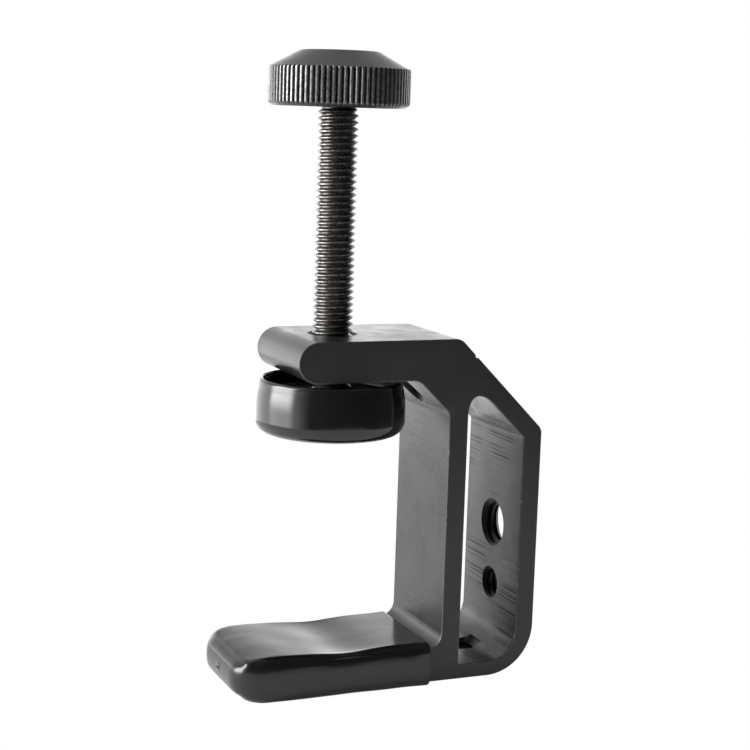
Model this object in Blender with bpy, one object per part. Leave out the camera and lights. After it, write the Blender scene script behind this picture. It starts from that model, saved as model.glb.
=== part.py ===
"""Desk clamp for hanging headphones and other accessories under or behind a desk.

An extruded aluminium C frame carries an M8 clamping screw in its upper arm. The screw has a knurled
knob on top and a swivel pad on its lower end. The lower jaw and the pad are dip coated in soft vinyl.

Metres, +Z up. The origin is on the lower jaw's grip face, on the screw's axis. The mouth of the C
faces -X and the extrusion runs along Y. The clamp is modelled fully open.
"""

import math

import bmesh
import bpy
from mathutils import Matrix, Vector

# Frame profile
FRAME_WIDTH = 0.0240
ARM_THICKNESS = 0.0080
ARM_REACH = 0.01125
JAW_THICKNESS = 0.00685
JAW_REACH = 0.0213
MOUTH_HEIGHT = 0.0530
THROAT_DEPTH = 0.0205
WEB_THICKNESS = 0.0040
CHANNEL_DEPTH = 0.0125
BACK_WALL = 0.0040
FLOOR_WALL = 0.0030
SLOPE_START = 0.0224
SLOPE_WALL = 0.0040
SHOULDER_THICKNESS = 0.0118

# Frame fillets
TOP_CORNER_FILLET = 0.0025
BACK_CORNER_FILLET = 0.0020
THROAT_UPPER_FILLET = 0.0028
THROAT_LOWER_FILLET = 0.0020
JAW_ROOT_FILLET = 0.0030
JAW_PLAN_FILLET = 0.0030
HEEL_RADIUS = 0.0100
CHANNEL_HEEL_RADIUS = 0.0060
CHANNEL_TOP_FILLET = 0.0032
CHANNEL_SHARP_FILLET = 0.0006

# Accessory holes, and the drill guide line along the slope
LARGE_THREAD_DIAMETER = 0.009525
SMALL_THREAD_DIAMETER = 0.00635
LARGE_HOLE_HEIGHT = 0.02865
SMALL_HOLE_HEIGHT = 0.0158
SLOPE_HOLE_DISTANCE = 0.0049
GUIDE_WIDTH = 0.0012
GUIDE_DEPTH = 0.0004

# Vinyl coat on the jaw
JAW_COAT_SIDE = 0.0006
JAW_COAT_TOP = 0.0009
JAW_COAT_LAP = 0.00055
JAW_COAT_EDGE = 0.0014
NUB_DIAMETER = 0.0018
NUB_HEIGHT = 0.0004

# Clamping screw
THREAD_DIAMETER = 0.0080
THREAD_PITCH = 0.00125
THREAD_DEPTH_SHARE = 0.613
THREAD_FLANK_SHARE = 0.4375
THREAD_CLEARANCE = 0.0002
COUNTERSINK_DIAMETER = 0.0098
SCREW_REACH = 0.0630
PIN_DIAMETER = 0.0050
PEEN_LIP = 0.0008
PEEN_HEIGHT = 0.0010
PEEN_ROUND = 0.0007
SHANK_DIAMETER = 0.0064

# Knob
KNOB_DIAMETER = 0.0274
KNOB_BAND_HEIGHT = 0.0078
KNOB_CONE_HEIGHT = 0.0031
KNOB_FLAT_DIAMETER = 0.0149
KNOB_CHAMFER = 0.0010
KNOB_BORE_DEPTH = 0.0070
KNURL_COUNT = 79
KNURL_DEPTH = 0.0004

# Swivel pad
PAD_DIAMETER = 0.0298
PAD_HEIGHT = 0.0108
PAD_REST_GAP = 0.0008
RIM_WIDTH = 0.0016
RECESS_DEPTH = 0.0032
PAD_COAT_SIDE = 0.0007
PAD_COAT_BOTTOM = 0.0012
PAD_COAT_LIP = 0.0007
PAD_EDGE_RADIUS = 0.0030
PAD_BARREL = 0.0005
WASHER_DIAMETER = 0.0100
WASHER_THICKNESS = 0.0008

# Clearances
FIT_GAP = 0.00025
RUNNING_GAP = 0.0003
PEEN_CLEARANCE = 0.0004

# Resolution
ROUND_SEGMENTS = 48
HOLE_SEGMENTS = 32
THREAD_SEGMENTS = 16
NUB_SEGMENTS = 12
ARC_STEP = math.radians(11.25)
PAD_ARC_STEPS = 4
NOSE_BEVEL_STEPS = 5
SLEEVE_BEVEL_STEPS = 3
SHARP_ANGLE = math.radians(30)
# Points nearer than this are one point, and cutters run this far past the faces they cut.
MERGE_DISTANCE = 1e-6
CUT_MARGIN = 0.0040

# Levels and stations that follow from the sizes above
JAW_TOP = -(JAW_COAT_TOP + FIT_GAP)
FRAME_BOTTOM = JAW_TOP - JAW_THICKNESS
ARM_TOP = MOUTH_HEIGHT + ARM_THICKNESS
WEB_BACK = THROAT_DEPTH + WEB_THICKNESS
BACK_INNER = WEB_BACK + CHANNEL_DEPTH
BACK_OUTER = BACK_INNER + BACK_WALL
CHANNEL_FLOOR = FRAME_BOTTOM + FLOOR_WALL
CHANNEL_MIDDLE = WEB_BACK + CHANNEL_DEPTH / 2
# Each 45 degree face lies where x + z equals one of these sums.
OUTER_SLOPE_SUM = SLOPE_START + ARM_TOP
CHANNEL_SLOPE_SUM = OUTER_SLOPE_SUM - SLOPE_WALL * math.sqrt(2)
THROAT_SLOPE_SUM = OUTER_SLOPE_SUM - SHOULDER_THICKNESS * math.sqrt(2)
PAD_TOP = MOUTH_HEIGHT - PAD_REST_GAP
PAD_BOTTOM = PAD_TOP - PAD_HEIGHT
RECESS_FLOOR = PAD_TOP - RECESS_DEPTH
RIM_RADIUS = PAD_DIAMETER / 2 - RIM_WIDTH
DISC_BOTTOM = PAD_BOTTOM + PAD_COAT_BOTTOM + FIT_GAP
DISC_RADIUS = PAD_DIAMETER / 2 - PAD_COAT_SIDE - FIT_GAP
DISC_TOP = PAD_TOP - PAD_COAT_LIP - FIT_GAP
PEEN_BOTTOM = DISC_BOTTOM + PEEN_CLEARANCE
PEEN_TOP = PEEN_BOTTOM + PEEN_HEIGHT
WASHER_LOW = PEEN_TOP + RUNNING_GAP
WASHER_HIGH = WASHER_LOW + WASHER_THICKNESS
POCKET_CEILING = WASHER_HIGH + RUNNING_GAP
KNOB_BOTTOM = PAD_BOTTOM + SCREW_REACH
THREAD_DEPTH = THREAD_DEPTH_SHARE * THREAD_PITCH
# The coat's open end laps this little way onto the fillet between the jaw and the web.
JAW_COAT_END = THROAT_DEPTH - JAW_ROOT_FILLET + JAW_COAT_LAP


def clear_scene():
    for obj in list(bpy.data.objects):
        bpy.data.objects.remove(obj, do_unlink=True)


def material(name, color, metallic, roughness):
    made = bpy.data.materials.new(name)
    made.use_nodes = True
    shader = made.node_tree.nodes["Principled BSDF"]
    shader.inputs["Base Color"].default_value = (*color, 1.0)
    shader.inputs["Metallic"].default_value = metallic
    shader.inputs["Roughness"].default_value = roughness
    return made


def add_object(name, bm, finish=None):
    """Turn a bmesh into an object in the scene, with its faces pointing out."""
    bmesh.ops.recalc_face_normals(bm, faces=bm.faces)
    mesh = bpy.data.meshes.new(name)
    bm.to_mesh(mesh)
    bm.free()
    obj = bpy.data.objects.new(name, mesh)
    bpy.context.scene.collection.objects.link(obj)
    if finish:
        mesh.materials.append(finish)
        mesh.shade_smooth()
        mesh.set_sharp_from_angle(angle=SHARP_ANGLE)
    return obj


def add_cutter(name, bm):
    obj = add_object(name, bm)
    obj.hide_render = True
    obj.display_type = "WIRE"
    return obj


def combine(target, other, operation):
    modifier = target.modifiers.new(other.name, "BOOLEAN")
    modifier.operation = operation
    modifier.object = other


def rounded_outline(corners):
    """Points of a closed outline from (u, v, fillet radius) corners, each fillet as an arc."""
    points = []
    for index, (u, v, radius) in enumerate(corners):
        corner = Vector((u, v))
        back = (Vector(corners[index - 1][:2]) - corner).normalized()
        ahead = (Vector(corners[(index + 1) % len(corners)][:2]) - corner).normalized()
        if radius == 0:
            points.append(corner)
            continue
        half_angle = back.angle(ahead) / 2
        centre = corner + (back + ahead).normalized() * radius / math.sin(half_angle)
        first = corner + back * radius / math.tan(half_angle) - centre
        turn = math.copysign(math.pi - 2 * half_angle, back.x * ahead.y - back.y * ahead.x)
        steps = max(2, round(abs(turn) / ARC_STEP))
        for step in range(steps + 1):
            points.append(centre + Matrix.Rotation(-turn * step / steps, 2) @ first)
    before = points[-1:] + points[:-1]
    return [point for point, last in zip(points, before) if (point - last).length > MERGE_DISTANCE]


def arc(centre, radius, start, end):
    """(radius, z) points of an arc between two angles, for a turned profile."""
    angles = [start + (end - start) * step / PAD_ARC_STEPS for step in range(PAD_ARC_STEPS + 1)]
    return [(centre[0] + radius * math.cos(a), centre[1] + radius * math.sin(a)) for a in angles]


def prism(points, axis, low, high):
    """A closed prism: an outline in XZ run along Y, or an outline in XY run along Z."""
    bm = bmesh.new()
    if axis == "Y":
        ring = [bm.verts.new((p.x, low, p.y)) for p in points]
        run = Vector((0, high - low, 0))
    else:
        ring = [bm.verts.new((p.x, p.y, low)) for p in points]
        run = Vector((0, 0, high - low))
    face = bm.faces.new(ring)
    side = bmesh.ops.extrude_face_region(bm, geom=[face])["geom"]
    bmesh.ops.translate(bm, vec=run, verts=[v for v in side if isinstance(v, bmesh.types.BMVert)])
    return bm


def turned(profile, segments=ROUND_SEGMENTS):
    """A closed solid turned about Z from (radius, z) points."""
    bm = bmesh.new()
    verts = [bm.verts.new((radius, 0, z)) for radius, z in profile]
    edges = [bm.edges.new(pair) for pair in zip(verts, verts[1:])]
    if profile[0][0] > 0:
        edges.append(bm.edges.new((verts[-1], verts[0])))
    bmesh.ops.spin(
        bm,
        geom=verts + edges,
        cent=(0, 0, 0),
        axis=(0, 0, 1),
        angle=2 * math.pi,
        steps=segments,
        use_merge=True,
    )
    bmesh.ops.remove_doubles(bm, verts=bm.verts, dist=MERGE_DISTANCE)
    return bm


def rod(diameter, start, end, segments=HOLE_SEGMENTS):
    """A plain cylinder between two points."""
    start, end = Vector(start), Vector(end)
    along = end - start
    bm = bmesh.new()
    place = Matrix.Translation((start + end) / 2) @ along.to_track_quat("Z", "Y").to_matrix().to_4x4()
    bmesh.ops.create_cone(
        bm,
        cap_ends=True,
        segments=segments,
        radius1=diameter / 2,
        radius2=diameter / 2,
        depth=along.length,
        matrix=place,
    )
    return bm


def threaded_rod(low, high):
    """A right-hand threaded rod: one pitch's profile repeated up the rod, then spun with a rise."""
    crest, root = THREAD_DIAMETER / 2, THREAD_DIAMETER / 2 - THREAD_DEPTH
    tooth = ((0, root), (THREAD_FLANK_SHARE, crest), (1 - THREAD_FLANK_SHARE, crest))
    turns = math.ceil((high - low) / THREAD_PITCH) + 3
    bm = bmesh.new()
    verts = [
        bm.verts.new((radius, 0, low + (turn - 2 + share) * THREAD_PITCH))
        for turn in range(turns)
        for share, radius in tooth
    ]
    edges = [bm.edges.new(pair) for pair in zip(verts, verts[1:])]
    bmesh.ops.spin(
        bm,
        geom=verts + edges,
        cent=(0, 0, 0),
        axis=(0, 0, 1),
        dvec=(0, 0, THREAD_PITCH / THREAD_SEGMENTS),
        angle=2 * math.pi,
        steps=THREAD_SEGMENTS,
    )
    bmesh.ops.remove_doubles(bm, verts=bm.verts, dist=MERGE_DISTANCE)
    for level, normal in ((low, -1), (high, 1)):
        bmesh.ops.bisect_plane(
            bm,
            geom=bm.verts[:] + bm.edges[:] + bm.faces[:],
            plane_co=(0, 0, level),
            plane_no=(0, 0, normal),
            clear_outer=True,
        )
    bmesh.ops.holes_fill(bm, edges=bm.edges, sides=0)
    return bm


def frame_outline():
    back_corner = OUTER_SLOPE_SUM - BACK_OUTER
    return rounded_outline(
        [
            (-JAW_REACH, FRAME_BOTTOM, 0),
            (BACK_OUTER, FRAME_BOTTOM, HEEL_RADIUS),
            (BACK_OUTER, back_corner, BACK_CORNER_FILLET),
            (SLOPE_START, ARM_TOP, TOP_CORNER_FILLET),
            (-ARM_REACH, ARM_TOP, ARM_THICKNESS / 2),
            (-ARM_REACH, MOUTH_HEIGHT, ARM_THICKNESS / 2),
            (THROAT_SLOPE_SUM - MOUTH_HEIGHT, MOUTH_HEIGHT, THROAT_UPPER_FILLET),
            (THROAT_DEPTH, THROAT_SLOPE_SUM - THROAT_DEPTH, THROAT_LOWER_FILLET),
            (THROAT_DEPTH, JAW_TOP, JAW_ROOT_FILLET),
            (-JAW_REACH, JAW_TOP, 0),
        ]
    )


def channel_outline():
    return rounded_outline(
        [
            (WEB_BACK, CHANNEL_FLOOR, CHANNEL_SHARP_FILLET),
            (BACK_INNER, CHANNEL_FLOOR, CHANNEL_HEEL_RADIUS),
            (BACK_INNER, CHANNEL_SLOPE_SUM - BACK_INNER, CHANNEL_SHARP_FILLET),
            (WEB_BACK, CHANNEL_SLOPE_SUM - WEB_BACK, CHANNEL_TOP_FILLET),
        ]
    )


def slope_point(distance, depth):
    """A point this far down the outer slope from the arm's corner, and this deep under its face."""
    down = Vector((1, 0, -1)).normalized() * distance
    inward = Vector((-1, 0, -1)).normalized() * depth
    return Vector((SLOPE_START, 0, ARM_TOP)) + down + inward


def cut_rod(frame, name, diameter, start, end):
    """Drill a plain hole through the frame, in the place of a tapped one."""
    combine(frame, add_cutter(name, rod(diameter, start, end)), "DIFFERENCE")


def guide_groove():
    """The V cut that the extrusion carries along the slope, where the slope's hole is drilled."""
    # The cutter stands as far out of the face as the groove goes in, so it is twice as wide there.
    corners = [
        slope_point(SLOPE_HOLE_DISTANCE - GUIDE_WIDTH, -GUIDE_DEPTH),
        slope_point(SLOPE_HOLE_DISTANCE, GUIDE_DEPTH),
        slope_point(SLOPE_HOLE_DISTANCE + GUIDE_WIDTH, -GUIDE_DEPTH),
    ]
    reach = FRAME_WIDTH / 2 + CUT_MARGIN
    return prism([Vector((p.x, p.z)) for p in corners], "Y", -reach, reach)


def countersunk_bore():
    """The cutter for the clamping screw's hole in the arm, with its countersink on top."""
    bore = THREAD_DIAMETER / 2 + THREAD_CLEARANCE
    sink = COUNTERSINK_DIAMETER / 2
    profile = [
        (0, MOUTH_HEIGHT - CUT_MARGIN),
        (bore, MOUTH_HEIGHT - CUT_MARGIN),
        (bore, ARM_TOP - (sink - bore)),
        (sink + CUT_MARGIN, ARM_TOP + CUT_MARGIN),
        (0, ARM_TOP + CUT_MARGIN),
    ]
    return turned(profile, HOLE_SEGMENTS)


def build_frame(finish):
    bm = prism(frame_outline(), "Y", -FRAME_WIDTH / 2, FRAME_WIDTH / 2)
    nose_edges = [
        edge
        for edge in bm.edges
        if all(abs(v.co.x + JAW_REACH) < MERGE_DISTANCE for v in edge.verts)
        and abs(edge.verts[0].co.y - edge.verts[1].co.y) < MERGE_DISTANCE
    ]
    bmesh.ops.bevel(
        bm,
        geom=nose_edges,
        offset=JAW_PLAN_FILLET,
        segments=NOSE_BEVEL_STEPS,
        profile=0.5,
        affect="EDGES",
        material=-1,
    )
    frame = add_object("frame", bm, finish)

    reach = FRAME_WIDTH / 2 + CUT_MARGIN
    channel = prism(channel_outline(), "Y", -reach, reach)
    combine(frame, add_cutter("channel_cutter", channel), "DIFFERENCE")
    combine(frame, add_cutter("guide_cutter", guide_groove()), "DIFFERENCE")
    combine(frame, add_cutter("screw_hole_cutter", countersunk_bore()), "DIFFERENCE")

    for name, diameter, height in (
        ("large_hole_cutter", LARGE_THREAD_DIAMETER, LARGE_HOLE_HEIGHT),
        ("small_hole_cutter", SMALL_THREAD_DIAMETER, SMALL_HOLE_HEIGHT),
    ):
        level = FRAME_BOTTOM + height
        cut_rod(frame, name, diameter, (CHANNEL_MIDDLE, 0, level), (BACK_OUTER + CUT_MARGIN, 0, level))
    cut_rod(
        frame,
        "slope_hole_cutter",
        SMALL_THREAD_DIAMETER,
        slope_point(SLOPE_HOLE_DISTANCE, -CUT_MARGIN),
        slope_point(SLOPE_HOLE_DISTANCE, SHOULDER_THICKNESS + CUT_MARGIN),
    )
    cut_rod(
        frame,
        "floor_hole_cutter",
        SMALL_THREAD_DIAMETER,
        (CHANNEL_MIDDLE, 0, FRAME_BOTTOM - CUT_MARGIN),
        (CHANNEL_MIDDLE, 0, CHANNEL_FLOOR + CUT_MARGIN),
    )
    return frame


def jaw_plan(offset, open_end):
    """The jaw's outline seen from above, grown by offset, from its nose to an open end at this x."""
    nose = -JAW_REACH - offset
    half = FRAME_WIDTH / 2 + offset
    corner = JAW_PLAN_FILLET + offset
    return rounded_outline(
        [(nose, -half, corner), (open_end, -half, 0), (open_end, half, 0), (nose, half, corner)]
    )


def build_jaw_sleeve(finish):
    shell = JAW_COAT_SIDE + FIT_GAP
    bottom = FRAME_BOTTOM - shell
    bm = prism(jaw_plan(shell, JAW_COAT_END), "Z", bottom, 0)
    rims = [
        edge
        for edge in bm.edges
        if abs(edge.verts[0].co.z - edge.verts[1].co.z) < MERGE_DISTANCE
        and not all(abs(v.co.x - JAW_COAT_END) < MERGE_DISTANCE for v in edge.verts)
    ]
    bmesh.ops.bevel(
        bm,
        geom=rims,
        offset=JAW_COAT_EDGE,
        segments=SLEEVE_BEVEL_STEPS,
        profile=0.5,
        affect="EDGES",
        material=-1,
    )
    sleeve = add_object("jaw_sleeve", bm, finish)
    cavity = prism(
        jaw_plan(FIT_GAP, JAW_COAT_END + CUT_MARGIN), "Z", FRAME_BOTTOM - FIT_GAP, JAW_TOP + FIT_GAP
    )
    combine(sleeve, add_cutter("jaw_cavity_cutter", cavity), "DIFFERENCE")
    nose, middle = -JAW_REACH - shell, bottom / 2
    nub = rod(
        NUB_DIAMETER, (nose - NUB_HEIGHT, 0, middle), (nose + JAW_COAT_SIDE / 2, 0, middle), NUB_SEGMENTS
    )
    combine(sleeve, add_cutter("drip_nub", nub), "UNION")
    return sleeve


def build_clamp_screw(finish):
    """The threaded rod, with the pad's pin below it and the knob's shank above it."""
    shoulder = RECESS_FLOOR + RUNNING_GAP
    screw = add_object("clamp_screw", threaded_rod(shoulder, KNOB_BOTTOM), finish)
    pin, peen = PIN_DIAMETER / 2, PIN_DIAMETER / 2 + PEEN_LIP
    overlap = THREAD_PITCH / 2
    pin_profile = [
        (0, shoulder + overlap),
        (pin, shoulder + overlap),
        (pin, PEEN_TOP),
        (peen, PEEN_TOP),
        (peen, PEEN_BOTTOM + PEEN_ROUND),
        (peen - PEEN_ROUND, PEEN_BOTTOM),
        (0, PEEN_BOTTOM),
    ]
    combine(screw, add_cutter("swivel_pin", turned(pin_profile, HOLE_SEGMENTS)), "UNION")
    shank = rod(
        SHANK_DIAMETER,
        (0, 0, KNOB_BOTTOM - overlap),
        (0, 0, KNOB_BOTTOM + KNOB_BORE_DEPTH - RUNNING_GAP),
    )
    combine(screw, add_cutter("knob_shank", shank), "UNION")
    return screw


def build_knob(finish):
    """A knurled band with a shallow cone above it and a blind hole for the screw below it."""
    outer = KNOB_DIAMETER / 2
    band_low = KNOB_BOTTOM + KNOB_CHAMFER
    band_high = KNOB_BOTTOM + KNOB_BAND_HEIGHT
    levels = [
        (outer - KNOB_CHAMFER, KNOB_BOTTOM + FIT_GAP, 0),
        (outer, band_low, 1),
        (outer, band_high, 1),
        (outer - KNURL_DEPTH, band_high, 0),
        (KNOB_FLAT_DIAMETER / 2, band_high + KNOB_CONE_HEIGHT, 0),
    ]
    bm = bmesh.new()
    rings = []
    for radius, level, knurled in levels:
        ring = []
        for step in range(2 * KNURL_COUNT):
            reach = radius - (KNURL_DEPTH if knurled and step % 2 else 0)
            angle = math.pi * step / KNURL_COUNT
            ring.append(bm.verts.new((reach * math.cos(angle), reach * math.sin(angle), level)))
        rings.append(ring)
    for ring in rings:
        for pair in zip(ring, ring[1:] + ring[:1]):
            bm.edges.new(pair)
    for lower, upper in zip(rings, rings[1:]):
        edges = [edge for edge in bm.edges if set(edge.verts) <= set(lower) or set(edge.verts) <= set(upper)]
        bmesh.ops.bridge_loops(bm, edges=edges)
    bm.faces.new(rings[0])
    bm.faces.new(rings[-1])
    knob = add_object("knob", bm, finish)
    bore = rod(
        SHANK_DIAMETER + 2 * RUNNING_GAP,
        (0, 0, KNOB_BOTTOM - KNOB_CHAMFER),
        (0, 0, KNOB_BOTTOM + KNOB_BORE_DEPTH),
    )
    combine(knob, add_cutter("knob_bore_cutter", bore), "DIFFERENCE")
    return knob


def build_pad_disc(finish):
    """The pad's metal cup: recess above, pin hole in the middle, swivel pocket below."""
    pin_hole = PIN_DIAMETER / 2 + RUNNING_GAP
    pocket = WASHER_DIAMETER / 2 + RUNNING_GAP
    edge = PAD_EDGE_RADIUS - PAD_COAT_SIDE - FIT_GAP
    profile = [
        (pin_hole, POCKET_CEILING),
        (pocket, POCKET_CEILING),
        (pocket, DISC_BOTTOM),
        *arc((DISC_RADIUS - edge, DISC_BOTTOM + edge), edge, -math.pi / 2, 0),
        (DISC_RADIUS, DISC_TOP),
        (RIM_RADIUS, DISC_TOP),
        (RIM_RADIUS, RECESS_FLOOR),
        (pin_hole, RECESS_FLOOR),
    ]
    return add_object("pad_disc", turned(profile), finish)


def build_pad_sleeve(finish):
    """The vinyl cup over the disc's side and underside, turned over its rim."""
    outer = PAD_DIAMETER / 2
    inner = DISC_RADIUS + FIT_GAP
    inner_edge = PAD_EDGE_RADIUS - PAD_COAT_SIDE
    floor = PAD_BOTTOM + PAD_COAT_BOTTOM
    lip = PAD_TOP - PAD_COAT_LIP
    brow = outer - PAD_BARREL - PAD_COAT_LIP
    profile = [
        (0, PAD_BOTTOM),
        *arc((outer - PAD_EDGE_RADIUS, PAD_BOTTOM + PAD_EDGE_RADIUS), PAD_EDGE_RADIUS, -math.pi / 2, 0),
        *arc((brow, lip), PAD_COAT_LIP, 0, math.pi / 2),
        (RIM_RADIUS, PAD_TOP),
        (RIM_RADIUS, lip),
        (inner, lip),
        *arc((inner - inner_edge, floor + inner_edge), inner_edge, 0, -math.pi / 2),
        (0, floor),
    ]
    return add_object("pad_sleeve", turned(profile), finish)


def build_retaining_washer(finish):
    """The washer between the swivel pocket's ceiling and the pin's peened end."""
    bore = PIN_DIAMETER / 2 + RUNNING_GAP / 2
    rim = WASHER_DIAMETER / 2
    profile = [(bore, WASHER_LOW), (rim, WASHER_LOW), (rim, WASHER_HIGH), (bore, WASHER_HIGH)]
    return add_object("retaining_washer", turned(profile, HOLE_SEGMENTS), finish)


def build():
    clear_scene()
    anodised = material("anodised_aluminium", (0.035, 0.035, 0.037), 0.9, 0.42)
    vinyl = material("vinyl_dip", (0.012, 0.013, 0.014), 0.0, 0.18)
    oxide = material("black_oxide_steel", (0.03, 0.03, 0.032), 0.9, 0.38)
    knob_finish = material("knob_aluminium", (0.03, 0.03, 0.031), 0.9, 0.5)

    build_frame(anodised)
    build_jaw_sleeve(vinyl)

    # The screw, the knob and the pad all move on one vertical axis, through this empty.
    axis = bpy.data.objects.new("screw_axis", None)
    bpy.context.scene.collection.objects.link(axis)
    for piece in (
        build_clamp_screw(oxide),
        build_knob(knob_finish),
        build_pad_disc(anodised),
        build_pad_sleeve(vinyl),
        build_retaining_washer(oxide),
    ):
        piece.parent = axis


build()
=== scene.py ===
"""Looks of a screw-operated desk clamp: an extruded C frame, a dip-coated jaw, a threaded rod with a
knurled knob, and a swivel pad. Metres, +Z up, origin on the lower jaw's grip face on the screw's axis.
"""

from __future__ import annotations

import logging
import math
from collections.abc import Callable, Iterable, Sequence
from dataclasses import dataclass, field
from enum import Enum

import bmesh
import bpy
from mathutils import Matrix, Vector, noise


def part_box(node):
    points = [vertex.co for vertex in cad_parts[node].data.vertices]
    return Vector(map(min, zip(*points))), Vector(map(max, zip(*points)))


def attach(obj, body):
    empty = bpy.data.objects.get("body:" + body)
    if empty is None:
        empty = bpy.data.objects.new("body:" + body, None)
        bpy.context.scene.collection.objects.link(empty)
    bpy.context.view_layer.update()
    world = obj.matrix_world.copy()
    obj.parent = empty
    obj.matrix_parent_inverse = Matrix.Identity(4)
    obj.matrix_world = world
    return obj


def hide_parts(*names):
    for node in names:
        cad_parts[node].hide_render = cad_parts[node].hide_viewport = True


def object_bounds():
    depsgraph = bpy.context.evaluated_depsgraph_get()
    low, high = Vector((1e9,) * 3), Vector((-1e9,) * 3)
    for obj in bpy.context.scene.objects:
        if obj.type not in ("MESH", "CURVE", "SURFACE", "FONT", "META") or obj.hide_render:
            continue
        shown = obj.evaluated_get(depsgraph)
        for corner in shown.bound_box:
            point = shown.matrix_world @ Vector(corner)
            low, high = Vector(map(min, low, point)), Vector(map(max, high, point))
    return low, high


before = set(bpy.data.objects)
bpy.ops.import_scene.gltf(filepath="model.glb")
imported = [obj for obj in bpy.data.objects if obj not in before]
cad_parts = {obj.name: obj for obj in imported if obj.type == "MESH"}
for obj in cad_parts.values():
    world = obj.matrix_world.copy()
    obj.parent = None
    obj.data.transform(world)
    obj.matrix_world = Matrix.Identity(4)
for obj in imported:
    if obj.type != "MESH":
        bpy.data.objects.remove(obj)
CAD_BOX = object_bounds()

LOG = logging.getLogger("desk_clamp")
MM = 0.001
MERGE_DISTANCE = 1e-6
Z_AXIS = Vector((0, 0, 1))
CUT_TOLERANCE = 1e-8
SHARP_ANGLE = 32.0
NOSE_TAPER_REACH = 6.0 * MM
NOSE_TAPER_SHARE = 0.45
AXIAL_PER_RADIAL = math.tan(math.radians(30))


class Slot(Enum):
    """The record's material slots."""

    ANODISED = "anodised_frame"
    VINYL = "vinyl_coat"
    OXIDE = "oxide_steel"
    KNOB = "knob_aluminium"


class Body(Enum):
    """The bodies that pieces ride on."""

    FRAME = "frame"
    SWIVEL = "swivel"
    SCREW = "screw"
    PAD = "pad"


class Surface(Enum):
    """Material slots of the frame's mesh, in order."""

    DRAWN = 0
    SAWN = 1
    BROKEN_EDGE = 2
    TAPPED = 3
    CHANNEL = 4


# ---------------------------------------------------------------------------------------------------
# Node helpers and the effects that several finishes share


class Graph:
    """Adds and wires nodes in one node tree."""

    def __init__(self, tree: bpy.types.NodeTree) -> None:
        """Keep the tree to work on.

        Args:
            tree: the node tree of a material, a world or a group.
        """
        self.tree = tree

    def add(self, kind: str, inputs: dict | None = None, **settings: object) -> bpy.types.Node:
        """Add a node, set its properties and its unlinked inputs, or link inputs given as sockets.

        Args:
            kind: the node's type name without the ShaderNode prefix.
            inputs: values or output sockets by input name or index.
            **settings: the node's own properties.

        Returns:
            The new node.
        """
        node = self.tree.nodes.new("ShaderNode" + kind)
        for name, value in settings.items():
            setattr(node, name, value)
        for key, value in (inputs or {}).items():
            if isinstance(value, bpy.types.NodeSocket):
                self.tree.links.new(value, node.inputs[key])
            else:
                node.inputs[key].default_value = value
        return node

    def math(self, operation: str, *values: object) -> bpy.types.NodeSocket:
        """Add a Math node and return its output.

        Args:
            operation: the node's operation.
            *values: numbers or output sockets.

        Returns:
            The result's socket.
        """
        return self.add("Math", dict(enumerate(values)), operation=operation).outputs[0]

    def remap(self, value: object, low: float, high: float, to_low: float,
              to_high: float) -> bpy.types.NodeSocket:
        """Map a range of a value smoothly onto another range.

        Args:
            value: the socket that is mapped.
            low: start of the source range.
            high: end of the source range.
            to_low: what the start becomes.
            to_high: what the end becomes.

        Returns:
            The mapped socket.
        """
        inputs = {"Value": value, "From Min": low, "From Max": high, "To Min": to_low, "To Max": to_high}
        return self.add("MapRange", inputs, interpolation_type="SMOOTHSTEP").outputs["Result"]

    def blend(self, share: object, first: object, second: object) -> bpy.types.NodeSocket:
        """Mix two colours.

        Args:
            share: how much of the second colour shows.
            first: a colour or a socket.
            second: a colour or a socket.

        Returns:
            The mixed colour's socket.
        """
        node = self.add("Mix", data_type="RGBA")
        for index, value in ((0, share), (6, first), (7, second)):
            if isinstance(value, bpy.types.NodeSocket):
                self.tree.links.new(value, node.inputs[index])
            else:
                node.inputs[index].default_value = value
        return node.outputs[2]


def make_group(name: str, inputs: dict[str, str],
               outputs: Sequence[str]) -> tuple[bpy.types.NodeTree, Graph, bpy.types.Node, bpy.types.Node]:
    """Start a shader node group with named sockets.

    Args:
        name: the group's name.
        inputs: socket types by input name.
        outputs: names of its number outputs.

    Returns:
        The group's tree, a graph on it, and its input and output nodes.
    """
    tree = bpy.data.node_groups.new(name, "ShaderNodeTree")
    for title, kind in inputs.items():
        tree.interface.new_socket(title, in_out="INPUT", socket_type=kind)
    for title in outputs:
        tree.interface.new_socket(title, in_out="OUTPUT", socket_type="NodeSocketFloat")
    source = tree.nodes.new("NodeGroupInput")
    sink = tree.nodes.new("NodeGroupOutput")
    return tree, Graph(tree), source, sink


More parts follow.
